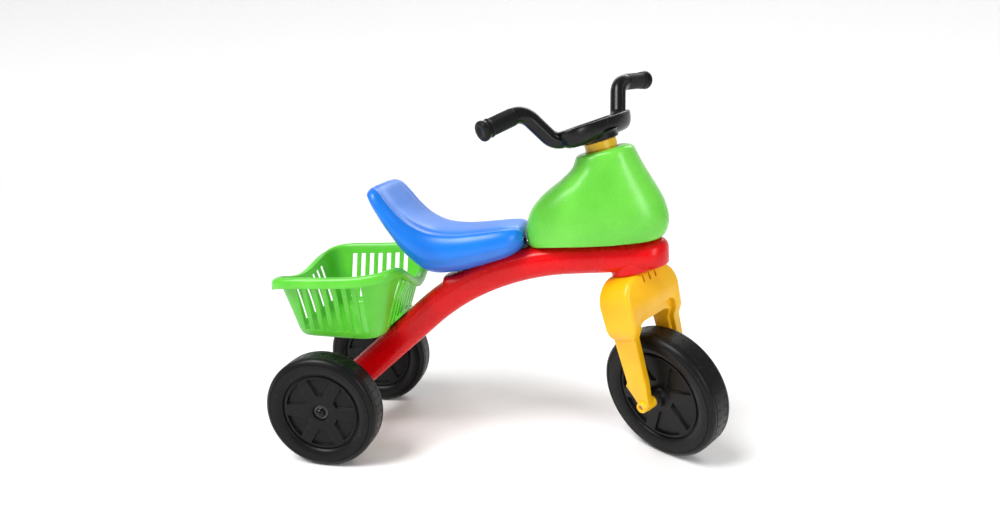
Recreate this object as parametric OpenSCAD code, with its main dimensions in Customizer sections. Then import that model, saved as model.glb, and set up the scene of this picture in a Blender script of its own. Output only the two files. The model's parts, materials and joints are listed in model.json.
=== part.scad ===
// Children's tricycle: curved beam frame, saddle, rear basket, steered front fork and three wheels.
// Millimetres. +X is forward, +Y is the rider's left, +Z is up.
// The origin is on the ground, under the middle of the rear axle. The front wheel is drawn turned
// to the right by steer_rest, about the raked steering axis.

/* [Stance] */
// Distance from the rear axle to the point where the steering axis meets the ground
steer_foot_x = 527; // [500:1:560]
// Lean of the steering axis behind the vertical, in degrees
rake = 17; // [12:0.5:20]
// How far the front wheel is turned to the right as drawn, in degrees
steer_rest = 38; // [0:1:45]
// Distance between the middles of the two rear wheels
track = 228; // [210:1:260]

/* [Wheels] */
// Diameter of a rear wheel
rear_wheel_d = 170; // [150:1:176]
// Width of a rear wheel
rear_wheel_w = 42; // [34:1:48]
// Diameter of the front wheel
front_wheel_d = 200; // [180:1:204]
// Width of the front wheel
front_wheel_w = 46; // [38:1:48]
// Rounding of the edges of a tread
tread_edge_r = 9; // [5:0.5:11]
// Radius of the ring groove on a rear wheel's face
rear_groove_r = 58; // [52:0.5:62]
// Radius of the ring groove on the front wheel's face
front_groove_r = 70; // [62:0.5:74]
// Number of spokes on each wheel face
spokes = 6; // [4:1:8]
// Diameter of the rear axle
rear_axle_d = 10; // [8:0.5:12]
// Diameter of the front axle
front_axle_d = 8; // [6:0.5:10]
// Radial clearance where a part turns on a shaft
running_gap = 0.05; // [0.02:0.01:0.09]
// Wall of a plastic bush
bush_wall = 2.5; // [2:0.25:3.5]
// Gap kept between parts that pass each other
face_gap = 0.4; // [0.3:0.1:1]

/* [Beam] */
// Width of the beam over its rear half
beam_w = 56; // [50:1:62]
// Width of the beam at its head
beam_head_w = 68; // [64:1:74]
// Depth of the beam
beam_t = 47; // [40:1:52]
// Wall of the moulded beam
beam_wall = 3.5; // [2.5:0.25:5]
// Slope of the straight rear stretch, in degrees
beam_rear_slope = 43; // [41:0.5:45]
// Slope of the straight head stretch, in degrees
beam_head_slope = 5; // [2:0.5:8]
// Length of the straight rear stretch, from the axle
beam_rear_len = 180; // [172:1:188]
// Bend radius of the beam's middle line
beam_bend_r = 360; // [340:1:380]
// Length of the straight head stretch, to the front end
beam_head_len = 141; // [134:1:148]

/* [Cover and seat] */
// Height of the moulded cover above the beam, on the steering axis
cover_h = 128; // [110:1:140]
// Half the width of the cover at its widest
cover_half_w = 50; // [44:1:54]
// Wall of the moulded cover
cover_wall = 3; // [2:0.25:4]
// Half the width of the saddle at its widest
seat_half_w = 67; // [58:1:74]
// Width of the raised pedestal under the saddle
pedestal_w = 48; // [40:1:52]

/* [Basket] */
// Length of the basket's floor
basket_floor_l = 126; // [116:1:130]
// Width of the basket's floor
basket_floor_w = 162; // [140:1:168]
// Height of the floor above the ground
basket_floor_z = 184; // [180:1:190]
// Wall of the basket
basket_wall = 2.5; // [2:0.25:4]
// Width of a slot in the basket's wall
slot_w = 8; // [5:0.5:9]
// Distance from one slot to the next
slot_pitch = 15; // [13:0.5:18]

/* [Fork and handlebar] */
// Diameter of the fork's stem
stem_d = 42; // [36:1:44]
// Half the width of the fork over its legs
fork_half_w = 58; // [54:1:62]
// Half the gap between the fork's legs
fork_half_gap = 31; // [29:0.5:34]
// Height of the fork crown's top along the steering axis, from the ground
crown_top = 301; // [297:1:304]
// Height of the arch's underside along the steering axis
arch_top = 231; // [222:1:238]
// How far the front axle sits behind the steering axis
axle_setback = 5; // [0:0.5:10]
// Diameter of the handlebar's tube
bar_d = 22.5; // [21:0.5:25]
// Half the width of the handlebar over the grips
bar_half_w = 168; // [150:1:185]
// Height of the hand grips above the hub
grip_rise = 46; // [36:1:56]
// Length of a hand grip
grip_len = 54; // [44:1:56]
// Bend radius of the handlebar's tube
bar_bend_r = 26; // [22:1:32]

/* [Hidden] */
$fn = 64;

red = "#E0101A";
lime = "#86E05A";
green = "#6FD83C";
blue = "#0A84EE";
yellow = "#FCC30A";
black = "#2A2A2B";
steel = "#B9BCC0";

// ---- the steering frame: local X is the wheel's forward, local Z runs up the steering axis ----
module steered() {
    translate([steer_foot_x, 0, 0]) rotate([0, -rake, 0]) rotate([0, 0, -steer_rest]) children();
}
// the same axis without the turn, for what stays on the frame
module on_axis() {
    translate([steer_foot_x, 0, 0]) rotate([0, -rake, 0]) children();
}
front_r = front_wheel_d / 2;
rear_r = rear_wheel_d / 2;
// a turned wheel leans on its edge, which sets the height of its hub
lean_sin = sin(steer_rest) * sin(rake);
lean_cos = sqrt(1 - pow(lean_sin, 2));
front_hub_z = (front_r - tread_edge_r) * lean_cos + (front_wheel_w / 2 - tread_edge_r) * lean_sin
              + tread_edge_r;
// the hub's place along the steering axis
hub_up = (front_hub_z + axle_setback * cos(steer_rest) * sin(rake)) / cos(rake);

// ---- helpers ----
function lerp(a, b, t) = a + (b - a) * t;
// Catmull-Rom through a list of stations; u runs from 0 to len - 1
function spline(p, u) = let (
        last = len(p) - 1, i = min(floor(u), last - 1), t = u - i,
        a = p[max(i - 1, 0)], b = p[i], c = p[i + 1], d = p[min(i + 2, last)])
    0.5 * (2 * b + (c - a) * t + (2 * a - 5 * b + 4 * c - d) * t * t
           + (3 * b - a - 3 * c + d) * t * t * t);
// solid through a list of rings, each with as many points as the others, closed by its two end rings
module loft(rings) {
    n = len(rings[0]);
    last = len(rings) - 1;
    sides = [for (i = [0 : last - 1], j = [0 : n - 1])
             let (k = (j + 1) % n) each [[i * n + j, i * n + k, (i + 1) * n + k],
                                         [i * n + j, (i + 1) * n + k, (i + 1) * n + j]]];
    caps = [[for (j = [n - 1 : -1 : 0]) j], [for (j = [0 : n - 1]) last * n + j]];
    polyhedron(points = [for (r = rings) each r], faces = concat(sides, caps));
}
// solid swept round a closed loop of sections
module hoop(sections) {
    n = len(sections[0]);
    m = len(sections);
    polyhedron(points = [for (s = sections) each s],
               faces = [for (i = [0 : m - 1], j = [0 : n - 1])
                        let (k = (j + 1) % n, q = (i + 1) % m)
                        each [[i * n + j, i * n + k, q * n + k], [i * n + j, q * n + k, q * n + j]]]);
}
// superellipse point; power 2 is an ellipse and a higher power is squarer
function squircle(a, rx, ry, power) =
    [rx * sign(cos(a)) * pow(abs(cos(a)), 2 / power), ry * sign(sin(a)) * pow(abs(sin(a)), 2 / power)];
// angles of n points round a ring
function turn(n) = [for (j = [0 : n - 1]) 360 * j / n];

// rod along a direction from a point
module rod(from, to, r) {
    d = to - from;
    len_d = norm(d);
    translate(from) rotate([0, acos(d[2] / len_d), atan2(d[1], d[0])]) cylinder(h = len_d, r = r);
}
// smooth bend of a rod between two directions, at the corner point
module bend(corner, from, to, bend_r, r) {
    d0 = (corner - from) / norm(corner - from);
    d1 = (to - corner) / norm(to - corner);
    angle = acos(d0 * d1);
    axis = cross(d0, d1) / norm(cross(d0, d1));
    start = corner - d0 * bend_r * tan(angle / 2);
    centre = start + cross(axis, d0) * bend_r;
    tilt = acos(axis[2]);
    spin = atan2(axis[1], axis[0]);
    out = (start - centre) / bend_r;
    x_dir = [cos(tilt) * cos(spin), cos(tilt) * sin(spin), -sin(tilt)];
    y_dir = [-sin(spin), cos(spin), 0];
    translate(centre) rotate([0, tilt, spin]) rotate([0, 0, atan2(out * y_dir, out * x_dir)])
        rotate_extrude(angle = angle) translate([bend_r, 0]) circle(r = r);
}
// point where a bend takes over from the straight
function tangent(corner, other, third, bend_r) = let (
        d0 = (corner - other) / norm(corner - other), d1 = (third - corner) / norm(third - corner))
    corner - d0 * bend_r * tan(acos(d0 * d1) / 2);
// cross-head screw: head on top, shank down, at the local origin
module screw(head_r, head_h, shank_r, shank_l) {
    difference() {
        union() {
            intersection() {
                cylinder(h = head_h, r = head_r);
                translate([0, 0, head_h - 1.6 * head_r]) sphere(r = 1.6 * head_r);
            }
            translate([0, 0, -shank_l]) cylinder(h = shank_l + 0.01, r = shank_r);
        }
        for (a = [0, 90]) rotate([0, 0, a])
            translate([-0.5 * head_r, -0.12 * head_r, 0.45 * head_h]) cube([head_r, 0.24 * head_r, head_h]);
    }
}

// ---- beam ----
beam_bend = beam_rear_slope - beam_head_slope;
bend_start = [beam_rear_len * cos(beam_rear_slope), rear_r + beam_rear_len * sin(beam_rear_slope)];
bend_centre = bend_start + beam_bend_r * [sin(beam_rear_slope), -cos(beam_rear_slope)];
bend_len = beam_bend_r * beam_bend * PI / 180;
beam_tail = beam_t / 2;
beam_len = beam_rear_len + bend_len + beam_head_len;
function beam_slope(s) = s < beam_rear_len ? beam_rear_slope
    : s < beam_rear_len + bend_len ? beam_rear_slope - (s - beam_rear_len) / beam_bend_r * 180 / PI
    : beam_head_slope;
function bend_point(slope) = bend_centre + beam_bend_r * [-sin(slope), cos(slope)];
function beam_mid(s) = s < beam_rear_len ? [s * cos(beam_rear_slope), rear_r + s * sin(beam_rear_slope)]
    : s < beam_rear_len + bend_len ? bend_point(beam_slope(s))
    : bend_point(beam_head_slope)
      + (s - beam_rear_len - bend_len) * [cos(beam_head_slope), sin(beam_head_slope)];
function beam_half_w(s) = lerp(beam_w, beam_head_w, max(0, min(1, (s - 250) / 130))) / 2;
// rounding of the two ends, as a share of the full section
head_round = beam_head_w / 2;
function end_share(s) = let (
        head = max(0, s - (beam_len - head_round)) / head_round,
        tail = max(0, -s) / beam_tail)
    [sqrt(max(0, 1 - pow(head, 2))), sqrt(max(0, 1 - pow(max(head * 0.93, tail), 2)))];
// one ring of the beam at distance s along its middle line, taken in by a wall
function beam_ring(s, wall) = let (
        share = end_share(s), a = beam_slope(s), m = beam_mid(s),
        w = max(0.8, beam_half_w(s) * (s > 0 ? share[0] : 1) - wall),
        t = max(0.8, beam_t / 2 * share[1] - wall))
    [for (q = turn(32)) let (p = squircle(q, w, t, 3.2))
     [m[0] - p[1] * sin(a), -p[0], m[1] + p[1] * cos(a)]];
function beam_stops(from, to, wall) = concat(
    from < 0 ? [for (a = [88, 66, 44, 22]) -(beam_tail - wall) * sin(a)] : [from],
    [for (s = [max(from, 0) : 24 : to - head_round]) s],
    [for (a = [0 : 15 : 88]) to - head_round + (head_round) * sin(a)], [to - 0.4]);
// bores and seats along the steering axis
stem_r = stem_d / 2;
lower_bore_r = stem_r + running_gap + bush_wall;
boss_r = beam_head_w / 2 - 1;
boss_bottom = crown_top + face_gap;
axis_lean = tan(rake);
// height where the beam's top face meets the steering axis
head_mid = beam_mid(beam_len - beam_head_len);
head_top_z = let (z0 = head_mid[1] + beam_t / 2, x0 = head_mid[0])
    (z0 + (steer_foot_x - x0) * tan(beam_head_slope)) / (1 + axis_lean * tan(beam_head_slope));
head_top_up = head_top_z / cos(rake);
// the pedestal's sloping top, from its rear step to where it meets the beam
pedestal_rear = [156, 266];
pedestal_slope = 17.5;
pedestal_len = 146;
module on_pedestal() {
    translate([pedestal_rear[0], 0, pedestal_rear[1]]) rotate([0, -pedestal_slope, 0]) children();
}
// how far the beam's underside lies below a point of the pedestal's top
function seat_screw_reach(x) = let (
        from = pedestal_rear + x * [cos(pedestal_slope), sin(pedestal_slope)] - bend_centre,
        fall = from * [sin(pedestal_slope), -cos(pedestal_slope)], r = beam_bend_r - beam_t / 2)
    -fall - sqrt(fall * fall - from * from + r * r);
screw_sink = 4;
// the basket rests on this stretch of the beam's top face
module on_rear_beam(s) {
    translate([beam_mid(s)[0], 0, beam_mid(s)[1]]) rotate([0, -beam_rear_slope, 0])
        translate([0, 0, beam_t / 2]) children();
}
cover_screw_s = [beam_len - 158, beam_len - 104];
seat_screw_x = [22, 84];
seat_wall = 3.5;
basket_screw_s = 149;
screw_r = 2;
module beam_outer() {
    loft([for (s = beam_stops(-1, beam_len, 0)) beam_ring(s, 0)]);
    on_pedestal() translate([0, -pedestal_w / 2, -34]) cube([pedestal_len, pedestal_w, 34]);
    on_axis() translate([0, 0, boss_bottom]) cylinder(h = head_top_up - boss_bottom - 12, r = boss_r);
}
module beam_hollow() {
    difference() {
        loft([for (s = [rear_axle_d + 10 : 20 : beam_len - 20]) beam_ring(s, beam_wall)]);
        on_axis() cylinder(h = 400, r = lower_bore_r + 4);
        for (s = cover_screw_s) translate([beam_mid(s)[0], 0, beam_mid(s)[1]])
            rotate([0, -beam_slope(s), 0]) translate([0, 0, -40]) cylinder(h = 80, r = 6);
        for (x = seat_screw_x) on_pedestal() translate([x, 0, -90]) cylinder(h = 90, r = 9);
        on_beam_top(nose_s) translate([0, 0, -60]) cylinder(h = 60, r = 8);
    }
}
module main_beam() {
    color(red) difference() {
        beam_outer();
        beam_hollow();
        translate([0, 60, rear_r]) rotate([90, 0, 0]) cylinder(h = 120, r = rear_axle_d / 2 + running_gap);
        on_axis() translate([0, 0, 200]) cylinder(h = 250, r = lower_bore_r);
        // the head's underside is flat where the fork's crown turns under it
        on_axis() translate([0, 0, boss_bottom - 60]) cylinder(h = 60, r = fork_half_w + 16);
        for (x = seat_screw_x) on_pedestal() translate([x, 0, 0]) {
            translate([0, 0, -90]) cylinder(h = 100, r = screw_r + 0.2);
            // flat seat for the screw's head, sunk into the beam's underside
            translate([0, 0, -seat_screw_reach(x) - 20]) cylinder(h = 20 + screw_sink, r = 5.5);
        }
        for (s = cover_screw_s) on_beam_top(s) translate([0, 0, -60]) cylinder(h = 80, r = screw_r + 0.2);
        for (y = [-1, 1]) on_rear_beam(basket_screw_s) translate([0, y * tab_w / 4, -basket_screw_len])
            cylinder(h = basket_screw_len + 10, r = screw_r);
        on_beam_top(nose_s) translate([0, 0, 12 - nose_bolt_len]) cylinder(h = 60, r = nose_bolt_r + 0.1);
    }
}

// ---- cover ----
// side outline stations from the bottom up: rear x and z, front x and z, half width
cover_outline = [
    [300, 309, 462, 334, 0.82 * cover_half_w],
    [285, 321, 480, 346, 0.97 * cover_half_w],
    [283, 345, 483, 368, cover_half_w],
    [293, 371, 474, 391, 0.98 * cover_half_w],
    [310, 393, 458, 415, 0.93 * cover_half_w],
    [331, 411, 446, 434, 0.87 * cover_half_w],
    [346, 427, 437, 450, 0.81 * cover_half_w],
    [350, 440, 431, 461, 0.77 * cover_half_w],
    [353, 447, 427, 465, 0.72 * cover_half_w],
    [362, 452, 417, 466, 0.54 * cover_half_w]];
// the stations above are drawn for a cover this tall, on a beam whose top is this high on the axis
cover_drawn_h = 128;
cover_drawn_z = 333;
// one ring of the cover at station u, taken in by a wall
function cover_ring(u, wall) = let (
        c = spline(cover_outline, u), grow = cover_h / cover_drawn_h,
        rise = function (z) head_top_z + (z - cover_drawn_z) * grow,
        mid = [(c[0] + c[2]) / 2, (rise(c[1]) + rise(c[3])) / 2],
        half = norm([c[2] - c[0], rise(c[3]) - rise(c[1])]) / 2,
        a = atan2(rise(c[3]) - rise(c[1]), c[2] - c[0]))
    [for (q = turn(40)) let (p = squircle(-q, half - wall, c[4] - wall, 2.35))
     [mid[0] + p[0] * cos(a), p[1], mid[1] + p[0] * sin(a)]];
cover_top_u = len(cover_outline) - 1;
// height of the cover's top along the steering axis
cover_top_up = (cover_ring(cover_top_u, 0)[0][2] + cover_ring(cover_top_u, 0)[20][2]) / 2 / cos(rake);
// the upper bush's sleeve, from this height along the steering axis
sleeve_from = cover_top_up - 36;
sleeve_r = stem_r + bush_wall + 2.6;
module head_cover() {
    color(lime) difference() {
        union() {
            difference() {
                // the underside follows the beam's top face
                intersection() {
                    loft([for (u = [0 : 0.5 : cover_top_u]) cover_ring(u, 0)]);
                    above_beam(0);
                }
                intersection() {
                    loft([for (u = [0.18 : 0.5 : cover_top_u - 0.3]) cover_ring(u, cover_wall)]);
                    above_beam(cover_wall);
                }
            }
            // sleeve that carries the upper bush, ending inside the top wall
            on_axis() translate([0, 0, sleeve_from])
                cylinder(h = cover_top_up - 1.8 - sleeve_from, r = sleeve_r);
            for (s = cover_screw_s) on_beam_top(s) translate([0, 0, 1]) cylinder(h = 19, r = 6);
        }
        on_axis() translate([0, 0, 300]) cylinder(h = 220, r = stem_r + running_gap + bush_wall);
        for (s = cover_screw_s) on_beam_top(s) translate([0, 0, -20]) cylinder(h = 36, r = screw_r);
    }
}
// everything over the beam's top face and a further lift, across the cover
module above_beam(lift) {
    translate([0, 100, 0]) rotate([90, 0, 0]) linear_extrude(200)
        polygon(concat([for (s = [beam_len - 220 : 10 : beam_len + 20]) beam_top(s) + [0, lift]],
                       [[beam_top(beam_len)[0] + 60, 700], [0, 700]]));
}
// point on the beam's top line, a face gap above it
function beam_top(s) = let (a = beam_slope(s), m = beam_mid(s))
    [m[0] - (beam_t / 2 + face_gap) * sin(a), m[1] + (beam_t / 2 + face_gap) * cos(a)];
module on_beam_top(s) {
    translate([beam_top(s)[0], 0, beam_top(s)[1]]) rotate([0, -beam_slope(s), 0]) children();
}
cover_screw_len = beam_t + 12;
module cover_screws() {
    color(steel) for (s = cover_screw_s) on_beam_top(s)
        translate([0, 0, -beam_t - 2 * face_gap]) mirror([0, 0, 1])
            screw(4.5, 2.5, screw_r - 0.1, cover_screw_len);
}

// ---- saddle ----
// side stations from the raised back to the nose: top x and z, bottom x and z, half width
seat_outline = [
    [60, 400, 56, 395, 0.50 * seat_half_w],
    [66, 405, 54, 388, 0.80 * seat_half_w],
    [77, 402, 59, 371, 0.93 * seat_half_w],
    [91, 388, 72, 349, 0.99 * seat_half_w],
    [106, 372, 88, 324, seat_half_w],
    [125, 358, 109, 295, seat_half_w],
    [150, 349, 140, 273, 0.99 * seat_half_w],
    [182, 346, 182, 276, 0.96 * seat_half_w],
    [220, 349, 223, 288, 0.90 * seat_half_w],
    [255, 353, 257, 300, 0.81 * seat_half_w],
    [273, 352, 273, 311, 0.68 * seat_half_w],
    [280, 345, 280, 321, 0.50 * seat_half_w]];
seat_last = len(seat_outline) - 1;
// section of the saddle: full and crowned above, drawn in below
function seat_section(q, w, h) = let (
        p = squircle(q, w, h, q < 180 ? 3 : 2.2),
        draw = p[1] < 0 ? 1 - 0.30 * pow(-p[1] / h, 1.5) : 1,
        dish = p[1] > 0 ? 0.10 * h * (1 - pow(p[0] / w, 2)) : 0)
    [p[0] * draw, p[1] - dish];
function seat_ring(u, wall) = let (
        c = spline(seat_outline, u), mid = [(c[0] + c[2]) / 2, (c[1] + c[3]) / 2],
        up = [c[0] - c[2], c[1] - c[3]], h = norm(up) / 2, d = up / norm(up))
    [for (q = turn(36)) let (p = seat_section(q, c[4] - wall, h - wall))
     [mid[0] + p[1] * d[0], -p[0], mid[1] + p[1] * d[1]]];
module seat() {
    color(blue) difference() {
        loft([for (u = [0 : 0.5 : seat_last]) seat_ring(u, 0)]);
        // sealed hollow of the moulding, with a post over each screw
        difference() {
            loft([for (u = [1.5 : 0.5 : seat_last - 1]) seat_ring(u, seat_wall)]);
            on_pedestal() translate([-60, -100, -60]) cube([300, 200, 60 + face_gap + seat_wall]);
            loft([for (s = beam_stops(bend_start[0], beam_len - 60, 0)) beam_ring(s, -face_gap - seat_wall)]);
            clamp_room(seat_wall);
            for (x = seat_screw_x) on_pedestal() translate([x, 0, 0]) cylinder(h = 100, r = 7);
        }
        clamp_room(0);
        // the underside sits on the pedestal and, further forward, on the beam
        loft([for (s = beam_stops(bend_start[0], beam_len - 60, 0)) beam_ring(s, -face_gap)]);
        on_pedestal() translate([-6, -100, -60]) cube([170, 200, 60 + face_gap]);
        for (x = seat_screw_x) on_pedestal() translate([x, 0, -10]) cylinder(h = 26, r = screw_r);
    }
}
module seat_screws() {
    color(steel) for (x = seat_screw_x) on_pedestal()
        translate([x, 0, screw_sink - seat_screw_reach(x) - face_gap]) mirror([0, 0, 1])
            screw(5, 3, screw_r - 0.1, seat_screw_reach(x) + 10);
}

// ---- clamp and bolt at the saddle's nose ----
nose_s = 354;
clamp_l = 24;
clamp_w = 22;
clamp_t = 5;
nut_h = 5;
nose_bolt_r = 3;
nose_bolt_len = 36;
nose_bolt_top = clamp_t + nut_h + 3;
module seat_clamp() {
    color(black) on_beam_top(nose_s) difference() {
        translate([-clamp_l * 0.6, -clamp_w / 2, 0]) cube([clamp_l, clamp_w, clamp_t]);
        translate([0, 0, -1]) cylinder(h = 12, r = nose_bolt_r + 0.1);
    }
}
module seat_bolt() {
    color(steel) on_beam_top(nose_s) {
        translate([0, 0, nose_bolt_top - nose_bolt_len]) cylinder(h = nose_bolt_len, r = nose_bolt_r);
        translate([0, 0, clamp_t + face_gap]) cylinder(h = nut_h, r = 5.5, $fn = 6);
    }
}
// room for clamp and bolt under the saddle's nose
module clamp_room(grow) {
    on_beam_top(nose_s) translate([-clamp_l * 0.6 - face_gap - grow, -clamp_w / 2 - face_gap - grow, -20])
        cube([clamp_l + 60, clamp_w + 2 * (face_gap + grow), 20 + nose_bolt_top + 2 * face_gap + grow]);
}

// ---- basket ----
basket_front_x = 76;
basket_rear_x = basket_front_x - basket_floor_l;
basket_top_l = basket_floor_l + 56;
basket_top_w = basket_floor_w + 52;
basket_top_front_x = 108;
rim_rear_z = 272;
rim_front_z = 298;
rear_dip = 14;
front_dip = 36;
rim_out = 9;
rim_h = 15;
rim_lip = 3;
// plan point of the basket at height share t and angle q, grown outwards
function basket_plan(t, q, grow) = let (
        l = lerp(basket_floor_l, basket_top_l, t) / 2 + grow,
        w = lerp(basket_floor_w, basket_top_w, t) / 2 + grow,
        x = lerp(basket_front_x, basket_top_front_x, t) - l + grow,
        p = squircle(q, l, w, 6))
    [x + p[0], p[1]];
// height of the rim: rising to the front, with a scoop in the middle of each end
function scoop(y) = pow(cos(90 * min(1, abs(y) / (basket_top_w / 2 - 14))), 2);
function rim_z(p) = let (
        rear_x = basket_top_front_x - basket_top_l,
        along = (p[0] - rear_x) / basket_top_l,
        rear = max(0, 1 - (p[0] - rear_x) / 18), front = max(0, 1 - (basket_top_front_x - p[0]) / 18))
    lerp(rim_rear_z, rim_front_z, lerp(sqrt(along), along * along, along))
    - (rear_dip * rear + front_dip * front) * scoop(p[1]);
// wall and rim in section: the rim is an inverted channel outside the wall
function basket_section(q) = let (
        o = basket_wall, z = rim_z(basket_plan(1, q, 0)),
        at = function (t, grow, h) concat(basket_plan(t, q, grow), h))
    [at(0, -6, basket_floor_z), at(0.04, 0, basket_floor_z + 5), at(1, 0, z - 3 - o),
     at(1, rim_out - o, z - 3 - o), at(1, rim_out - o, z - rim_h), at(1, rim_out, z - rim_h),
     at(1, rim_out, z - 4), at(1, rim_out - 4, z), at(1, 1 - o, z), at(1, -o, z - 3),
     at(0.04, -o, basket_floor_z + 5), at(0, -6, basket_floor_z + o)];
slot_from = 12;
slot_below_rim = 19;
// one slot through a wall, standing at a plan point and as tall as the rim over it allows
module slot(x, y, angle, rim_x) {
    translate([x, y, basket_floor_z + slot_from]) rotate([0, 0, angle]) translate([-slot_w / 2, -22, 0])
        cube([slot_w, 44, rim_z([rim_x, y]) - slot_below_rim - basket_floor_z - slot_from]);
}
basket_mid_x = (basket_front_x + basket_top_front_x - (basket_floor_l + basket_top_l) / 2) / 2;
basket_mid_w = (basket_floor_w + basket_top_w) / 4;
module basket_slots() {
    along = floor((basket_floor_l - 22) / slot_pitch);
    across = floor((basket_floor_w - 30) / slot_pitch);
    for (i = [0 : along - 1], side = [-1, 1])
        let (x = basket_mid_x + (i - (along - 1) / 2) * slot_pitch)
            slot(x, side * (basket_mid_w + 4), 0, x);
    for (i = [0 : across - 1]) let (y = (i - (across - 1) / 2) * slot_pitch) {
        slot(basket_front_x - basket_floor_l - 13, y, 90, basket_top_front_x - basket_top_l);
        slot(basket_front_x + 18, y, 90, basket_top_front_x);
    }
}
saddle_t = 5;
module basket() {
    color(green) difference() {
        union() {
            difference() {
                union() {
                    hoop([for (q = [0 : 7.5 : 359]) basket_section(q)]);
                    loft([for (z = [basket_floor_z, basket_floor_z + basket_wall])
                          [for (q = turn(48)) concat(basket_plan(0, -q, -5.5), z)]]);
                }
                basket_slots();
                // the beam passes through a notch in the floor's front edge
                on_rear_beam(0) translate([0, -beam_w / 2 - 2, -60]) cube([240, beam_w + 4, 60 + face_gap]);
            }
            // sloping saddle that closes the notch
            intersection() {
                on_rear_beam(0) translate([0, -beam_w / 2 - 4, face_gap]) cube([240, beam_w + 8, saddle_t]);
                loft([for (t = [0, 0.1, 1]) [for (q = turn(48))
                      concat(basket_plan(t, -q, 0), basket_floor_z + t * 90)]]);
            }
            // tab that runs on up the beam and takes the screws
            on_rear_beam(basket_screw_s) translate([-30, -tab_w / 2, face_gap]) cube([36, tab_w, saddle_t]);
        }
        for (y = [-1, 1]) on_rear_beam(basket_screw_s) translate([0, y * tab_w / 4, -5])
            cylinder(h = 60, r = screw_r + 0.2);
    }
}
tab_w = 40;
basket_screw_len = 26;
module basket_screws() {
    color(steel) for (y = [-1, 1]) on_rear_beam(basket_screw_s)
        translate([0, y * tab_w / 4, face_gap + saddle_t]) screw(3.6, 2.2, screw_r - 0.1, basket_screw_len);
}

// ---- rear axle ----
rear_axle_r = rear_axle_d / 2;
wheel_mid = track / 2;
hub_r = 17;
// the disc is sunk round a hub that ends below its face
recess_r = 12;
spoke_half_w = 8.5;
hub_proud = 3;
// outer face of a rear hub, and of the bush in it
rear_hub_out = wheel_mid + rear_wheel_w / 2 - 9;
rear_hub_in = wheel_mid - rear_wheel_w / 2 - hub_proud;
bush_flange = 1.5;
washer_t = 1.5;
cap_r = 7.5;
rear_axle_half = rear_hub_out + bush_flange + 5;
spacer_r = 9;
module at_rear_axle() {
    translate([0, 0, rear_r]) rotate([-90, 0, 0]) children();
}
module both_sides() {
    children();
    mirror([0, 1, 0]) children();
}
module rear_axle() {
    color(steel) translate([0, -rear_axle_half, rear_r]) rotate([-90, 0, 0])
        cylinder(h = 2 * rear_axle_half, r = rear_axle_r);
}
spacer_from = beam_w / 2 + face_gap;
washer_from = rear_hub_in - bush_flange - face_gap - washer_t;
module axle_spacers() {
    color(black) both_sides() at_rear_axle() difference() {
        translate([0, 0, spacer_from]) cylinder(h = washer_from - face_gap - spacer_from, r = spacer_r);
        cylinder(h = 200, r = rear_axle_r + running_gap);
    }
}
module axle_washers() {
    color(steel) both_sides() at_rear_axle() difference() {
        translate([0, 0, washer_from]) cylinder(h = washer_t, r = 10);
        cylinder(h = 200, r = rear_axle_r + running_gap);
    }
}
// domed push-on caps that hold the wheels on the axle
module rear_axle_caps() {
    color(black) both_sides() at_rear_axle() translate([0, 0, rear_hub_out + bush_flange + face_gap])
        difference() {
            intersection() {
                cylinder(h = 8, r = cap_r);
                translate([0, 0, -2]) sphere(r = 10);
            }
            translate([0, 0, -1]) cylinder(h = 5 + 1 - face_gap + 0.3, r = rear_axle_r + running_gap);
        }
}

// ---- wheels: local Z is the axle, outwards on +Z ----
// half of a wheel's cross-section, mirrored about its middle plane when turned
module wheel_half(r, w, groove_r, hub_half) {
    h = w / 2;
    e = tread_edge_r;
    disc_from = hub_half > h - 5 ? hub_r : recess_r;
    difference() {
        union() {
            square([disc_from, hub_half]);
            translate([disc_from, 0]) square([groove_r + 2 - disc_from, h - 8]);
            translate([groove_r - 2, 0]) square([r - e - groove_r + 2, h]);
            translate([r - e - 1, 0]) square([e + 1, h - e]);
            translate([r - e, h - e]) circle(r = e);
            // flat disc face carried by the ring
            translate([disc_from, 0]) square([groove_r - disc_from, h - 5]);
        }
        // ring groove between the tyre zone and the disc
        translate([groove_r - 2.5, h - 9]) square([5, 20]);
        // shallow line round the tread
        translate([r - 1.2, h - e - 4]) square([3, 1.6]);
        // sealed hollow of the moulding, under the disc and in the tread
        translate([hub_r + 5, -1]) square([groove_r - hub_r, h - 14 + 1]);
        translate([groove_r + 6, -1]) square([r - groove_r - 10, h - 5 + 1]);
    }
}
module spoke_pockets(groove_r, h) {
    inner = hub_r + 9;
    outer = groove_r - 5;
    half_step = 180 / spokes;
    for (i = [0 : spokes - 1]) rotate([0, 0, (i + 0.5) * 360 / spokes]) translate([0, 0, h - 5 - 5])
        linear_extrude(10) intersection() {
            difference() {
                circle(r = outer);
                circle(r = inner);
            }
            // the pocket's sides leave a spoke of even width
            translate([spoke_half_w / sin(half_step), 0])
                polygon([[0, 0], [outer * 1.2, outer * 1.2 * tan(half_step)],
                         [outer * 1.2, -outer * 1.2 * tan(half_step)]]);
        }
}
module wheel(r, w, groove_r, hub_out, hub_in, bore_r) {
    difference() {
        union() {
            rotate_extrude() wheel_half(r, w, groove_r, hub_out);
            mirror([0, 0, 1]) rotate_extrude() wheel_half(r, w, groove_r, hub_in);
        }
        spoke_pockets(groove_r, w / 2);
        mirror([0, 0, 1]) spoke_pockets(groove_r, w / 2);
        translate([0, 0, -w]) cylinder(h = 2 * w, r = bore_r);
    }
}
rear_bush_r = rear_axle_r + running_gap + bush_wall;
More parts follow.
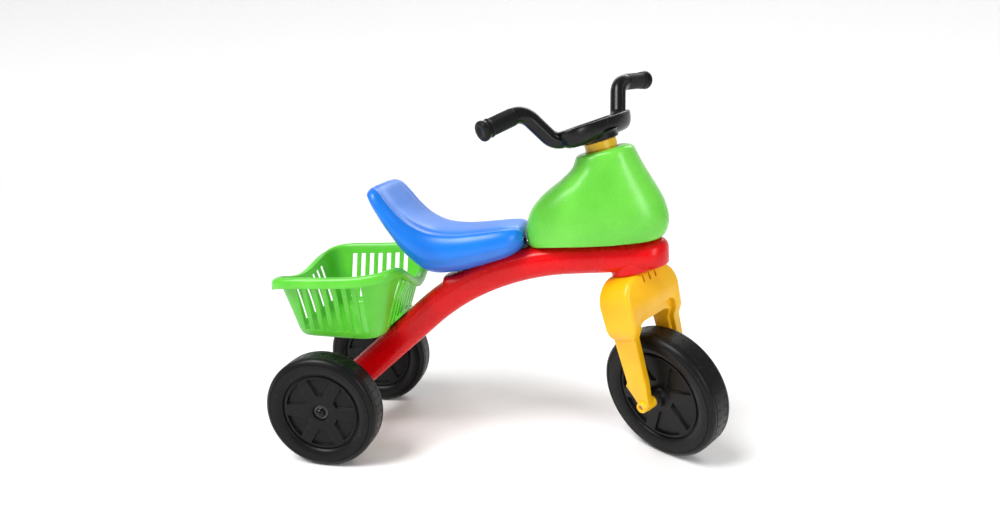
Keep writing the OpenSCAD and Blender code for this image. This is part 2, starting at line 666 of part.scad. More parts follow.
// flanged bush: flange outwards on +Z at z = 0, sleeve below
module bush(shaft_r, outer_r, length) {
    difference() {
        union() {
            cylinder(h = bush_flange, r = outer_r + 3);
            translate([0, 0, -length]) cylinder(h = length + 0.5, r = outer_r);
        }
        translate([0, 0, -length - 1]) cylinder(h = length + 10, r = shaft_r + running_gap);
    }
}
bush_len = 12;
module rear_wheel() {
    color(black) at_rear_axle() translate([0, 0, wheel_mid])
        wheel(rear_r, rear_wheel_w, rear_groove_r, rear_hub_out - wheel_mid, wheel_mid - rear_hub_in,
              rear_bush_r);
}
module rear_bushes() {
    color(steel) at_rear_axle() {
        translate([0, 0, rear_hub_out]) bush(rear_axle_r, rear_bush_r, bush_len);
        translate([0, 0, rear_hub_in]) mirror([0, 0, 1]) bush(rear_axle_r, rear_bush_r, bush_len);
    }
}
module rear_wheel_left() { rear_wheel(); }
module rear_wheel_right() { mirror([0, 1, 0]) rear_wheel(); }
module rear_bushes_left() { rear_bushes(); }
module rear_bushes_right() { mirror([0, 1, 0]) rear_bushes(); }

// ---- steering bushes, fixed in the frame ----
upper_bush_len = 24;
lower_bush_len = 36;
module stem_sleeve(length) {
    difference() {
        cylinder(h = length, r = stem_r + running_gap + bush_wall);
        translate([0, 0, -1]) cylinder(h = length + 2, r = stem_r + running_gap);
    }
}
module upper_bush() {
    color(black) on_axis() translate([0, 0, cover_top_up - 3 - upper_bush_len]) stem_sleeve(upper_bush_len);
}
module lower_bush() {
    color(black) on_axis() translate([0, 0, boss_bottom]) stem_sleeve(lower_bush_len);
}

// ---- fork, drawn upright in the steered frame ----
hub_bottom = cover_top_up + 11;
dish_top = hub_bottom + 28;
dish_floor = hub_bottom + 15;
stem_top = dish_floor - 3 - face_gap;
leg_in = fork_half_gap + 4;
leg_out = fork_half_w - 5;
front_axle_r = front_axle_d / 2;
axle_boss_r = 10;
shoulder_r = 34;
arch_r = 12;
// side outline of crown and legs: forward along X, up along Y
module fork_side() {
    polygon([[-32, arch_top - 4], [-32, crown_top - 40], [-29, crown_top - 16], [-20, crown_top],
             [18, crown_top], [26, crown_top - 8], [27, crown_top - 38], [23, arch_top - 4],
             [14, arch_top - 18], [10, hub_up + 36], [4, hub_up], [-14, hub_up],
             [-25, hub_up + 32], [-24, arch_top - 22]]);
}
// front outline: across along X, up along Y
module fork_front() {
    difference() {
        union() {
            translate([-fork_half_w, arch_top - 14])
                square([2 * fork_half_w, crown_top - shoulder_r - arch_top + 14]);
            translate([-fork_half_w + shoulder_r, arch_top])
                square([2 * (fork_half_w - shoulder_r), crown_top - arch_top]);
            for (side = [-1, 1]) translate([side * (fork_half_w - shoulder_r), crown_top - shoulder_r])
                circle(r = shoulder_r);
            for (side = [-1, 1]) translate([side > 0 ? leg_in : -leg_out, hub_up])
                square([leg_out - leg_in, arch_top - hub_up]);
        }
        translate([-leg_in, 0]) square([2 * leg_in, arch_top - arch_r]);
        translate([-leg_in + arch_r, 0]) square([2 * (leg_in - arch_r), arch_top]);
        for (side = [-1, 1]) translate([side * (leg_in - arch_r), arch_top - arch_r]) circle(r = arch_r);
    }
}
module fork() {
    color(yellow) steered() difference() {
        union() {
            intersection() {
                translate([0, 80, 0]) rotate([90, 0, 0]) linear_extrude(160) fork_side();
                translate([-60, 0, 0]) rotate([90, 0, 90]) linear_extrude(120) fork_front();
            }
            for (side = [-1, 1]) translate([-axle_setback, side > 0 ? fork_half_w : -fork_half_gap, hub_up])
                rotate([90, 0, 0]) cylinder(h = fork_half_w - fork_half_gap, r = axle_boss_r);
            translate([0, 0, crown_top - 20]) cylinder(h = stem_top - crown_top + 20, r = stem_r);
        }
        // the axle's bore through both bosses
        translate([-axle_setback, 80, hub_up]) rotate([90, 0, 0])
            cylinder(h = 160, r = front_axle_r + running_gap);
        // the stem is cored out from under the arch, and drilled for its bolt
        translate([0, 0, arch_top - 1]) cylinder(h = stem_top - 30 - arch_top, r = stem_r - 5);
        translate([0, 0, stem_top - 40]) cylinder(h = 50, r = stem_bolt_r + 0.1);
        // three notches in the crown's front shoulder
        for (y = [-14, 0, 14]) translate([14, y - 1.5, crown_top - 12]) rotate([0, 30, 0]) cube([20, 3, 24]);
    }
}
front_axle_half = fork_half_w - 4;
module front_axle() {
    color(steel) steered() translate([-axle_setback, -front_axle_half, hub_up]) rotate([-90, 0, 0])
        cylinder(h = 2 * front_axle_half, r = front_axle_r);
}
front_hub_half = fork_half_gap - bush_flange - face_gap;
front_bush_r = front_axle_r + running_gap + bush_wall;
module at_front_axle() {
    steered() translate([-axle_setback, 0, hub_up]) rotate([-90, 0, 0]) children();
}
module front_wheel() {
    color(black) at_front_axle()
        wheel(front_r, front_wheel_w, front_groove_r, front_hub_half, front_hub_half, front_bush_r);
}
module front_bushes() {
    color(steel) at_front_axle() {
        translate([0, 0, front_hub_half]) bush(front_axle_r, front_bush_r, bush_len);
        mirror([0, 0, 1]) translate([0, 0, front_hub_half]) bush(front_axle_r, front_bush_r, bush_len);
    }
}

// ---- handlebar ----
bar_r = bar_d / 2;
stem_bolt_r = 4;
hub_collar_r = stem_r + 6;
dish_half = 66;
// plan outline of the dish: straight behind, bowed forward in front, round at the ends
function dish_outline(inset) = [for (q = turn(48))
    let (p = squircle(q, dish_half - inset, 23 - inset, 3.4), bow = 10 * (1 - pow(p[0] / dish_half, 2)))
    [p[1] * 0.94 - 3 + bow * (p[1] > 0 ? 1 : 0.3), p[0]]];
// the bar's middle line on one side, from inside the dish to the end of the tube
function bar_point(i, side) = [
    [-6, side * 40, dish_top - 12], [-18, side * 66, dish_top - 11],
    [-27, side * 97, dish_top - 7 + grip_rise], [-34, side * (bar_half_w - 4), dish_top - 15 + grip_rise]][i];
module bar_side(side) {
    a = bar_point(0, side);
    b = bar_point(1, side);
    c = bar_point(2, side);
    d = bar_point(3, side);
    v = (d - c) / norm(d - c);
    grip_from = d + v * (4 - grip_len);
    straight(a, tangent(b, a, c, bar_bend_r));
    bend(b, a, c, bar_bend_r, bar_r - bend_step);
    straight(tangent(b, c, a, bar_bend_r), tangent(c, b, d, bar_bend_r));
    bend(c, b, d, bar_bend_r, bar_r - bend_step);
    straight(tangent(c, d, b, bar_bend_r), grip_from - v * (face_gap + straight_over));
    rod(grip_from - v, d, spigot_r);
}
// a straight of the tube runs a little over the bends at its ends, which are a little thinner
bend_step = 0.15;
straight_over = 0.5;
module straight(from, to) {
    over = straight_over * (to - from) / norm(to - from);
    rod(from - over, to + over, bar_r);
}
module handlebar() {
    color(black) steered() difference() {
        union() {
            translate([0, 0, hub_bottom]) cylinder(h = 10, r = hub_collar_r);
            difference() {
                union() {
                    translate([0, 0, hub_bottom + 6]) linear_extrude(5) polygon(dish_outline(9));
                    translate([0, 0, hub_bottom + 9]) linear_extrude(5) polygon(dish_outline(4));
                    translate([0, 0, hub_bottom + 12]) linear_extrude(dish_top - hub_bottom - 12)
                        polygon(dish_outline(0));
                    for (side = [-1, 1]) bar_side(side);
                }
                translate([0, 0, dish_floor]) linear_extrude(40) polygon(dish_outline(7));
            }
        }
        translate([0, 0, hub_bottom - 1])
            cylinder(h = stem_top + face_gap + 1 - hub_bottom, r = stem_r + running_gap);
        translate([0, 0, hub_bottom]) cylinder(h = 40, r = stem_bolt_r + 0.3);
    }
}
stem_washer_t = 2;
module stem_washer() {
    color(steel) steered() translate([0, 0, dish_floor]) difference() {
        cylinder(h = stem_washer_t, r = 9);
        translate([0, 0, -1]) cylinder(h = 5, r = stem_bolt_r + 0.3);
    }
}
module stem_bolt() {
    color(steel) steered() translate([0, 0, dish_floor + stem_washer_t]) {
        cylinder(h = 5.3, r = 7.5, $fn = 6);
        translate([0, 0, -34]) cylinder(h = 34.01, r = stem_bolt_r);
    }
}
grip_r = bar_r + 0.5;
bulb_r = grip_r + 1.8;
spigot_r = bar_r - 2;
// a grip drawn along +Z from its inner end
module grip_shape() {
    difference() {
        union() {
            cylinder(h = grip_len - 12, r = grip_r);
            translate([0, 0, grip_len - 14]) rotate_extrude() translate([grip_r - 0.5, 0]) circle(r = 1.5);
            translate([0, 0, grip_len - 14]) cylinder(h = 8, r1 = grip_r - 1, r2 = bulb_r);
            translate([0, 0, grip_len - 6]) cylinder(h = 6, r = bulb_r);
        }
        translate([0, 0, -1]) cylinder(h = grip_len - 4 + 1 + face_gap, r = spigot_r + 0.02);
    }
}
module grip(side) {
    c = bar_point(2, side);
    d = bar_point(3, side);
    v = (d - c) / norm(d - c);
    color(black) steered() translate(d + v * (4 - grip_len)) rotate([0, acos(v[2]), atan2(v[1], v[0])])
        grip_shape();
}
module grip_left() { grip(1); }
module grip_right() { grip(-1); }

main_beam();
head_cover();
cover_screws();
seat();
seat_clamp();
seat_bolt();
seat_screws();
basket();
basket_screws();
rear_axle();
axle_spacers();
axle_washers();
rear_axle_caps();
upper_bush();
lower_bush();
rear_wheel_left();
rear_wheel_right();
rear_bushes_left();
rear_bushes_right();
fork();
front_axle();
front_wheel();
front_bushes();
handlebar();
stem_bolt();
stem_washer();
grip_left();
grip_right();
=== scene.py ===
# %% [markdown]
# # A children's tricycle
# The real one is moulded from coloured plastic: a red beam, a green cover round the steering stem, a
# blue saddle, a slotted basket, a yellow fork, a black handlebar and three black wheels. The packed
# model already holds every piece at its true size. This lesson loads it, and then makes the visible
# mouldings again with softer edges, ribs, rims and grooves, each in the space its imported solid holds.

import json
import math

import bmesh
import bpy
from mathutils import Matrix, Vector


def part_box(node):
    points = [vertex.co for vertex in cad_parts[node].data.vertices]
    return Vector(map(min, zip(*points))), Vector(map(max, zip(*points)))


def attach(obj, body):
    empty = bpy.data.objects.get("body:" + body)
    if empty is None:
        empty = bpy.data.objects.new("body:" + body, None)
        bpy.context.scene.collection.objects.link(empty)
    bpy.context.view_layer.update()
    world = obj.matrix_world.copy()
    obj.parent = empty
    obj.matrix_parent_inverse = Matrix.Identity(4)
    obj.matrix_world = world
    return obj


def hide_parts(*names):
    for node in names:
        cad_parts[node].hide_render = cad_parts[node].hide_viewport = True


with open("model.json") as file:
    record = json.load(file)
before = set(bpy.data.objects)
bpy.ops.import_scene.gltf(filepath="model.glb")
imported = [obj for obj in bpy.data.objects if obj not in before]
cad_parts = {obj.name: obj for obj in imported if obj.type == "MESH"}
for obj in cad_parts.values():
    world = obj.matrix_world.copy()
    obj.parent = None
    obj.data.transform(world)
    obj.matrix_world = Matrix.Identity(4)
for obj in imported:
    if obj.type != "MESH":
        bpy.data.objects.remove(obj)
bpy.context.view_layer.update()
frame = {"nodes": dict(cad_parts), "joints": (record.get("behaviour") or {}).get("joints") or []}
nodes = frame["nodes"]
joints = {j["name"]: j for j in frame["joints"]}
MM = 0.001
print("packed nodes:", len(nodes))

# %% [markdown]
# ## Where things are
# The steering stem leans back and its fork is stored turned to the right. The joints of the packed
# model give that frame exactly: the stem's axis, and the front wheel's axle as the sideways direction.

# %% The steered frame and the axle centres, in millimetres
def unit(v):
    return Vector(v).normalized()


def sin(degrees):
    return math.sin(math.radians(degrees))


def cos(degrees):
    return math.cos(math.radians(degrees))


def verts_of(geom):
    """The vertices among what a bmesh operator made."""
    return [g for g in geom if isinstance(g, bmesh.types.BMVert)]


foot = Vector(joints["steer"]["pos_m"]) / MM
stem_up = unit(joints["steer"]["axis"])
side = unit(joints["front_wheel_spin"]["axis"])
ahead = side.cross(stem_up).normalized()
front_hub = Vector(joints["front_wheel_spin"]["pos_m"]) / MM
rear_hub = {s: Vector(joints[f"rear_wheel_{s}_spin"]["pos_m"]) / MM for s in ("left", "right")}
steered = Matrix((ahead, side, stem_up)).transposed().to_4x4()
steered.translation = foot
hub_up = (front_hub - foot).dot(stem_up)
axle_back = -(front_hub - foot).dot(ahead)
print("hub up the stem:", round(hub_up, 2), "set back:", round(axle_back, 2))

# %% [markdown]
# ## The camera
# The view is from the tricycle's right side, a little from the front and above. It is made first, so
# that every piece can be judged from it. A small shift sets the object a little off the middle of the
# frame.

# %% Camera
view_turn, view_rise, view_distance = 10.49, 16.66, 1.09136
back = Vector((sin(view_turn) * cos(view_rise), -cos(view_turn) * cos(view_rise), sin(view_rise)))
right = Vector((cos(view_turn), sin(view_turn), 0))
target = Vector((0.27327, 0, 0.25184))
camera_data = bpy.data.cameras.new("camera")
camera_data.sensor_fit = "HORIZONTAL"
camera_data.sensor_width = 36
camera_data.lens = 26.33
camera_data.shift_x = -0.0213
camera_data.shift_y = 0.0262
camera_data.clip_start = 0.05
camera = bpy.data.objects.new("camera", camera_data)
bpy.context.scene.collection.objects.link(camera)
turn = Matrix((right, back.cross(right), back)).transposed().to_4x4()
turn.translation = target + back * view_distance
camera.matrix_world = turn
bpy.context.scene.camera = camera
# the plain transform keeps toy colours as strong as their pigments are
bpy.context.scene.view_settings.view_transform = "Standard"

# %% [markdown]
# ## Floor and light
# A white paper sweep: a floor that curves up into a wall far behind. A high soft sun whitens all of it
# evenly, lamps to the left and right give the gloss its highlights, and one behind lifts the top edges.

# %% One function for a material's nodes, and one for colours
def linear(hex_colour, shade=1.0):
    """sRGB hex to the linear values that shaders use."""
    out = []
    for i in (1, 3, 5):
        c = int(hex_colour[i:i + 2], 16) / 255
        out.append(min(1, (c / 12.92 if c <= 0.04045 else ((c + 0.055) / 1.055) ** 2.4) * shade))
    return (*out, 1)


def add_node(tree, kind, settings=None, **links):
    """A node of that kind: settings are attributes or input values, links are its inputs."""
    node = tree.nodes.new(kind)
    for name, value in (settings or {}).items():
        if hasattr(node, name):
            setattr(node, name, value)
        else:
            node.inputs[name].default_value = value
    for name, source in links.items():
        tree.links.new(source, node.inputs[int(name[1:]) if name[0] == "_" else name.replace("_", " ")])
    return node


def new_material(name):
    material = bpy.data.materials.new(name)
    material.use_nodes = True
    tree = material.node_tree
    shader = tree.nodes["Principled BSDF"]
    return material, tree, shader


# %% Sweep and lamps
def lamp(name, place, size, power, aim=(0.25, 0, 0.25)):
    """A rectangular lamp aimed at the object, or a soft sun where there is no size."""
    data = bpy.data.lights.new(name, "SUN" if size is None else "AREA")
    data.energy = power
    if size is None:
        data.angle = math.radians(24)
    else:
        data.shape = "RECTANGLE"
        data.size, data.size_y = size
    obj = bpy.data.objects.new(name, data)
    bpy.context.scene.collection.objects.link(obj)
    obj.location = place
    obj.rotation_euler = (Vector(aim) - Vector(place)).to_track_quat("-Z", "Y").to_euler()


lamp("high_lamp", (-0.7, -1.0, 2.4), None, 2.1)
lamp("main_lamp", (-1.0, -1.2, 1.4), (0.9, 0.6), 13)
lamp("side_lamp", (1.5, -1.1, 0.9), (0.4, 1.0), 8)
lamp("back_lamp", (0.5, 1.4, 1.4), (1.4, 0.5), 9)
world = bpy.data.worlds.new("studio")
world.use_nodes = True
world.node_tree.nodes["Background"].inputs["Color"].default_value = linear("#FFFFFF")
world.node_tree.nodes["Background"].inputs["Strength"].default_value = 0.32
bpy.context.scene.world = world
sweep_r, sweep_y, sweep_half, sweep_top = 1.5, 3.0, 8, 6
sweep = [(-sweep_half, 0), (sweep_y, 0)]
sweep += [(sweep_y + sweep_r * sin(a), sweep_r - sweep_r * cos(a)) for a in range(6, 91, 6)]
sweep.append((sweep_y + sweep_r, sweep_top))
bm = bmesh.new()
verts = [bm.verts.new((-sweep_half, y, z)) for y, z in sweep]
edges = [bm.edges.new(pair) for pair in zip(verts, verts[1:])]
made = bmesh.ops.extrude_edge_only(bm, edges=edges)["geom"]
bmesh.ops.translate(bm, vec=(2 * sweep_half, 0, 0), verts=verts_of(made))
bm.normal_update()
bmesh.ops.reverse_faces(bm, faces=[f for f in bm.faces if f.normal.z < -0.01 or f.normal.y > 0.01])
sweep_mesh = bpy.data.meshes.new("studio_sweep")
bm.to_mesh(sweep_mesh)
bm.free()
sweep_mesh.shade_smooth()
sweep_paper = bpy.data.objects.new("studio_sweep", sweep_mesh)
bpy.context.scene.collection.objects.link(sweep_paper)
paper, tree, shader = new_material("matt white studio paper")
shader.inputs["Base Color"].default_value = linear("#FAFAFA")
shader.inputs["Roughness"].default_value = 0.9
sweep_mesh.materials.append(paper)

# %% [markdown]
# ## Tools for making pieces
# Most mouldings here are skins over changing cross-sections. `skin` makes a circle with as many points
# as a section has, gives it the first section's shape, and extrudes its edges from section to section.
# `piece` turns the finished bmesh into an object that rides on its body.

# %% skin, spin and piece
def skin(rings, caps=True):
    """A surface through rings of equal length; layers keep each vertex's place and row."""
    bm = bmesh.new()
    order, row = bm.verts.layers.int.new("order"), bm.verts.layers.int.new("row")
    for k, v in enumerate(bmesh.ops.create_circle(bm, segments=len(rings[0]), radius=1)["verts"]):
        v[order] = k
        v.co = rings[0][k]
    first = edges = bm.edges[:]
    for level, ring in enumerate(rings[1:], 1):
        made = bmesh.ops.extrude_edge_only(bm, edges=edges)["geom"]
        edges = [g for g in made if isinstance(g, bmesh.types.BMEdge) and g.is_boundary]
        for v in verts_of(made):
            v[row], v.co = level, ring[v[order]]
    if caps:
        for loop in (first, edges):
            bmesh.ops.contextual_create(bm, geom=loop)
    return bm


def lathe(profile, steps=96):
    """Spins a line of (radius, height) points a full turn about local Z."""
    bm = bmesh.new()
    verts = [bm.verts.new((r, 0, z)) for r, z in profile]
    edges = [bm.edges.new(pair) for pair in zip(verts, verts[1:])]
    bmesh.ops.spin(bm, geom=verts + edges, axis=(0, 0, 1), cent=(0, 0, 0), angle=2 * math.pi,
                   steps=steps, use_merge=True)
    bmesh.ops.remove_doubles(bm, verts=bm.verts, dist=0.001)
    return bm


def bevel(bm, edges, width, segments=3, clamp=True):
    """Rounds these edges; without the clamp, short edges nearby don't hold the width back."""
    return bmesh.ops.bevel(bm, geom=edges, offset=width, offset_type="OFFSET", segments=segments,
                           profile=0.5, affect="EDGES", clamp_overlap=clamp, material=-1)


def sharp_edges(bm, degrees, where=lambda e: True):
    """The edges between two faces that turn by more than this many degrees."""
    bm.normal_update()
    return [e for e in bm.edges if len(e.link_faces) == 2
            and e.calc_face_angle() > math.radians(degrees) and where(e)]


def join(bm, other):
    """Adds another bmesh's shape to bm."""
    spare = bpy.data.meshes.new("spare")
    bmesh.ops.recalc_face_normals(other, faces=other.faces)
    other.to_mesh(spare)
    other.free()
    bm.from_mesh(spare)
    bpy.data.meshes.remove(spare)
    return bm


def piece(name, bm, body, material, replaced=(), matrix=None, sharp=38):
    """An object in metres, at the origin, from a bmesh drawn in millimetres."""
    bmesh.ops.remove_doubles(bm, verts=bm.verts, dist=0.0005)
    bmesh.ops.recalc_face_normals(bm, faces=bm.faces)
    bmesh.ops.transform(bm, matrix=Matrix.Scale(MM, 4) @ (matrix or Matrix()), verts=bm.verts)
    mesh = bpy.data.meshes.new(name)
    bm.to_mesh(mesh)
    bm.free()
    mesh.shade_smooth()
    mesh.set_sharp_from_angle(angle=math.radians(sharp))
    mesh.materials.append(material)
    obj = bpy.data.objects.new(name, mesh)
    bpy.context.scene.collection.objects.link(obj)
    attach(obj, body)
    if replaced:
        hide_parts(*replaced)
    print(name, len(mesh.polygons), "faces")
    return obj


def squircle(turn_deg, rx, ry, power):
    """Point of a rounded rectangle; power 2 is an ellipse."""
    c, s = cos(turn_deg), sin(turn_deg)
    return (rx * math.copysign(abs(c) ** (2 / power), c), ry * math.copysign(abs(s) ** (2 / power), s))


def spline(rows, u):
    """Smooth curve through rows of numbers; u counts rows."""
    i = min(int(u), len(rows) - 2)
    t = u - i
    a, b, c, d = rows[max(i - 1, 0)], rows[i], rows[i + 1], rows[min(i + 2, len(rows) - 1)]
    return [0.5 * (2 * q + (r - p) * t + (2 * p - 5 * q + 4 * r - s) * t * t
                   + (3 * q - p - 3 * r + s) * t ** 3) for p, q, r, s in zip(a, b, c, d)]


def bump(x, middle, width):
    """A bell of height 1 at the middle."""
    return math.exp(-((x - middle) / width) ** 2)


def smooth(x, low, high):
    """A soft step from 0 at low to 1 at high, which may lie either way round."""
    t = max(0, min(1, (x - low) / (high - low)))
    return t * t * (3 - 2 * t)


# %% [markdown]
# ## Finishes
# Every coloured piece of the real one is polyethylene or polypropylene with its pigment mixed in. The
# mould leaves a satin gloss with a slight unevenness of a few millimetres, and handling leaves faint
# scuffs. One recipe makes them all: the colour drifts a little, the gloss is uneven, and two bumps
# give the ripple of the moulding and its fine grain.

# %% The plastics
def plastic(name, base, rough, ripple_mm=14, grain_mm=0.9, ripple=0.05, grain=0.04, drift=0.06,
            scuff=0.12, reflects=0.5, lighter=None):
    """Pigmented moulded plastic; lighter is a second shade that it drifts to."""
    material, tree, shader = new_material(name)
    place = add_node(tree, "ShaderNodeTexCoord").outputs["Object"]
    big = add_node(tree, "ShaderNodeTexNoise", {"Scale": 1 / (60 * MM), "Detail": 2.0}, Vector=place)
    ramp = add_node(tree, "ShaderNodeValToRGB", _0=big.outputs["Fac"])
    ramp.color_ramp.elements[0].position, ramp.color_ramp.elements[1].position = 0.3, 0.7
    ramp.color_ramp.elements[0].color = linear(base, 1 - drift)
    ramp.color_ramp.elements[1].color = linear(lighter or base, 1 + drift)
    # scuffs: thin stretched marks that lift the roughness and pale the colour a little
    stretch = add_node(tree, "ShaderNodeMapping", {"Scale": (1.0, 3.0, 0.6)}, Vector=place)
    marks = add_node(tree, "ShaderNodeTexNoise", {"Scale": 1 / (7 * MM), "Detail": 6.0, "Roughness": 0.7},
                     Vector=stretch.outputs["Vector"])
    worn = add_node(tree, "ShaderNodeMapRange", {"From Min": 0.58, "From Max": 0.78},
                    Value=marks.outputs["Fac"])
    edge = add_node(tree, "ShaderNodeNewGeometry").outputs["Pointiness"]
    edge_worn = add_node(tree, "ShaderNodeMapRange", {"From Min": 0.53, "From Max": 0.62, "To Max": 0.6},
                         Value=edge)
    wear = add_node(tree, "ShaderNodeMath", {"operation": "MAXIMUM"}, _0=worn.outputs["Result"],
                    _1=edge_worn.outputs["Result"])
    share = add_node(tree, "ShaderNodeMath", {"operation": "MULTIPLY"}, _0=wear.outputs["Value"])
    share.inputs[1].default_value = scuff
    pale = add_node(tree, "ShaderNodeMix", {"data_type": "RGBA"}, _0=share.outputs["Value"],
                    _6=ramp.outputs["Color"])
    pale.inputs[7].default_value = (0.8, 0.8, 0.78, 1)
    tree.links.new(pale.outputs[2], shader.inputs["Base Color"])
    uneven = add_node(tree, "ShaderNodeTexNoise", {"Scale": 1 / (25 * MM), "Detail": 3.0}, Vector=place)
    gloss = add_node(tree, "ShaderNodeMapRange", {"To Min": rough * 0.85, "To Max": rough * 1.15},
                     Value=uneven.outputs["Fac"])
    dull = add_node(tree, "ShaderNodeMath", {"operation": "MULTIPLY_ADD"}, _0=wear.outputs["Value"],
                    _2=gloss.outputs["Result"])
    dull.inputs[1].default_value = 0.15
    tree.links.new(dull.outputs["Value"], shader.inputs["Roughness"])
    # moulding ripple and grain
    wave = add_node(tree, "ShaderNodeTexNoise", {"Scale": 1 / (ripple_mm * MM), "Detail": 1.0},
                    Vector=place)
    fine = add_node(tree, "ShaderNodeTexNoise", {"Scale": 1 / (grain_mm * MM), "Detail": 2.0},
                    Vector=place)
    soft = add_node(tree, "ShaderNodeBump", {"Strength": ripple, "Distance": 2 * MM},
                    Height=wave.outputs["Fac"])
    relief = add_node(tree, "ShaderNodeBump", {"Strength": grain, "Distance": 0.3 * MM},
                      Height=fine.outputs["Fac"], Normal=soft.outputs["Normal"])
    tree.links.new(relief.outputs["Normal"], shader.inputs["Normal"])
    shader.inputs["IOR"].default_value = 1.5
    shader.inputs["Specular IOR Level"].default_value = reflects
    return material


red_plastic = plastic("blow-moulded red polyethylene", "#DA0008", 0.27, scuff=0.01, reflects=0.3)
lime_plastic = plastic("blow-moulded lime polyethylene", "#62C838", 0.27, lighter="#6CCF42", scuff=0.02)
blue_plastic = plastic("blow-moulded blue polyethylene", "#0472DC", 0.32, lighter="#0A7AE4", scuff=0.03)
green_plastic = plastic("injection-moulded green polypropylene", "#58CA2C", 0.30, lighter="#64D038",
                        scuff=0.03)
yellow_plastic = plastic("injection-moulded yellow polypropylene", "#F9B800", 0.32, lighter="#FBC010",
                         scuff=0.04)
wheel_plastic = plastic("blow-moulded black polyethylene", "#0E0E0F", 0.36, ripple_mm=9, grain_mm=1.4,
                        grain=0.12, drift=0.12, scuff=0.03, reflects=0.2)
bar_plastic = plastic("injection-moulded black polypropylene", "#0A0A0B", 0.26, drift=0.1, scuff=0.02,
                      reflects=0.3)
grip_rubber = plastic("ribbed black vinyl", "#0D0D0E", 0.38, grain_mm=0.7, grain=0.15, drift=0.1,
                      scuff=0.02, reflects=0.2)
bush_plastic = plastic("moulded black nylon", "#161617", 0.42, grain=0.1)

# %% [markdown]
# The fasteners, washers and axles are bright zinc-plated steel: metallic, with fine tool lines and
# small dull spots where the plating has aged.

# %% Zinc-plated steel
zinc, tree, shader = new_material("zinc-plated steel")
place = add_node(tree, "ShaderNodeTexCoord").outputs["Object"]
spots = add_node(tree, "ShaderNodeTexNoise", {"Scale": 1 / (2.5 * MM), "Detail": 5.0}, Vector=place)
ramp = add_node(tree, "ShaderNodeValToRGB", _0=spots.outputs["Fac"])
ramp.color_ramp.elements[0].position, ramp.color_ramp.elements[1].position = 0.35, 0.7
ramp.color_ramp.elements[0].color = linear("#A9ADB3")
ramp.color_ramp.elements[1].color = linear("#D3D5D8")
tree.links.new(ramp.outputs["Color"], shader.inputs["Base Color"])
rough = add_node(tree, "ShaderNodeMapRange", {"To Min": 0.22, "To Max": 0.45}, Value=spots.outputs["Fac"])
tree.links.new(rough.outputs["Result"], shader.inputs["Roughness"])
lines = add_node(tree, "ShaderNodeTexWave", {"Scale": 1 / (1.2 * MM) / 3.14, "Distortion": 1.0},
                 Vector=place)
relief = add_node(tree, "ShaderNodeBump", {"Strength": 0.05, "Distance": 0.1 * MM},
                  Height=lines.outputs["Fac"])
tree.links.new(relief.outputs["Normal"], shader.inputs["Normal"])
shader.inputs["Metallic"].default_value = 1.0

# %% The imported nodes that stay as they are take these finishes
kept = {zinc: ["cover_screws", "seat_bolt", "seat_screws", "basket_screws", "rear_axle", "axle_washers",
               "front_axle", "stem_bolt", "stem_washer"],
        bush_plastic: ["seat_clamp", "axle_spacers", "upper_bush", "lower_bush", "front_bushes",
                       "rear_bushes_left", "rear_bushes_right"]}
for material, names in kept.items():
    for n in names:
        nodes[n].data.materials.clear()
        nodes[n].data.materials.append(material)

# %% [markdown]
# ## The beam
# The frame is one blow-moulded tube of rounded-rectangular section. It rises straight from the rear
# axle, bends over in one long arc and runs almost level to a rounded head over the fork. A low
# pedestal under the saddle is moulded on top. A skin along the middle line gives the whole shape; the
# pedestal is raised out of the same skin, so that its edges flow into the beam.

# %% The beam's middle line and sections
def along_slope(degrees):
    """The direction (x, z) of a line with this slope."""
    return Vector((cos(degrees), sin(degrees)))


def over(degrees):
    """The direction (x, z) square to it, upward."""
    return Vector((-sin(degrees), cos(degrees)))


beam_w, beam_head_w, beam_t, nose_r = 56, 68, 47, 14
clearance = 0.4
rear_slope, head_slope = 43, 5
rear_len, bend_r, head_len = 180, 360, 141
rear_r = rear_hub["left"].z
bend_at = Vector((0, rear_r)) + rear_len * along_slope(rear_slope)
bend_mid = bend_at - bend_r * over(rear_slope)
bend_len = bend_r * math.radians(rear_slope - head_slope)
beam_len = rear_len + bend_len + head_len


def beam_line(s):
    """Middle point (x, z) and slope in degrees, at s along the beam from the axle."""
    turned = math.degrees((s - rear_len) / bend_r)
    slope = max(head_slope, min(rear_slope, rear_slope - turned))
    if s < rear_len:
        return Vector((0, rear_r)) + s * along_slope(slope), slope
    at = bend_mid + bend_r * over(slope)
    return at + max(0, s - rear_len - bend_len) * along_slope(slope), slope


pedestal_at, pedestal_len, pedestal_w = Vector((156, 266)), 146, 48
pedestal_dir, pedestal_up = along_slope(17.5), over(17.5)


def pedestal_lift(point, normal):
    """How far the pedestal's top stands over a point of the beam's top line."""
    return (pedestal_at - point).dot(pedestal_up) / normal.dot(pedestal_up)


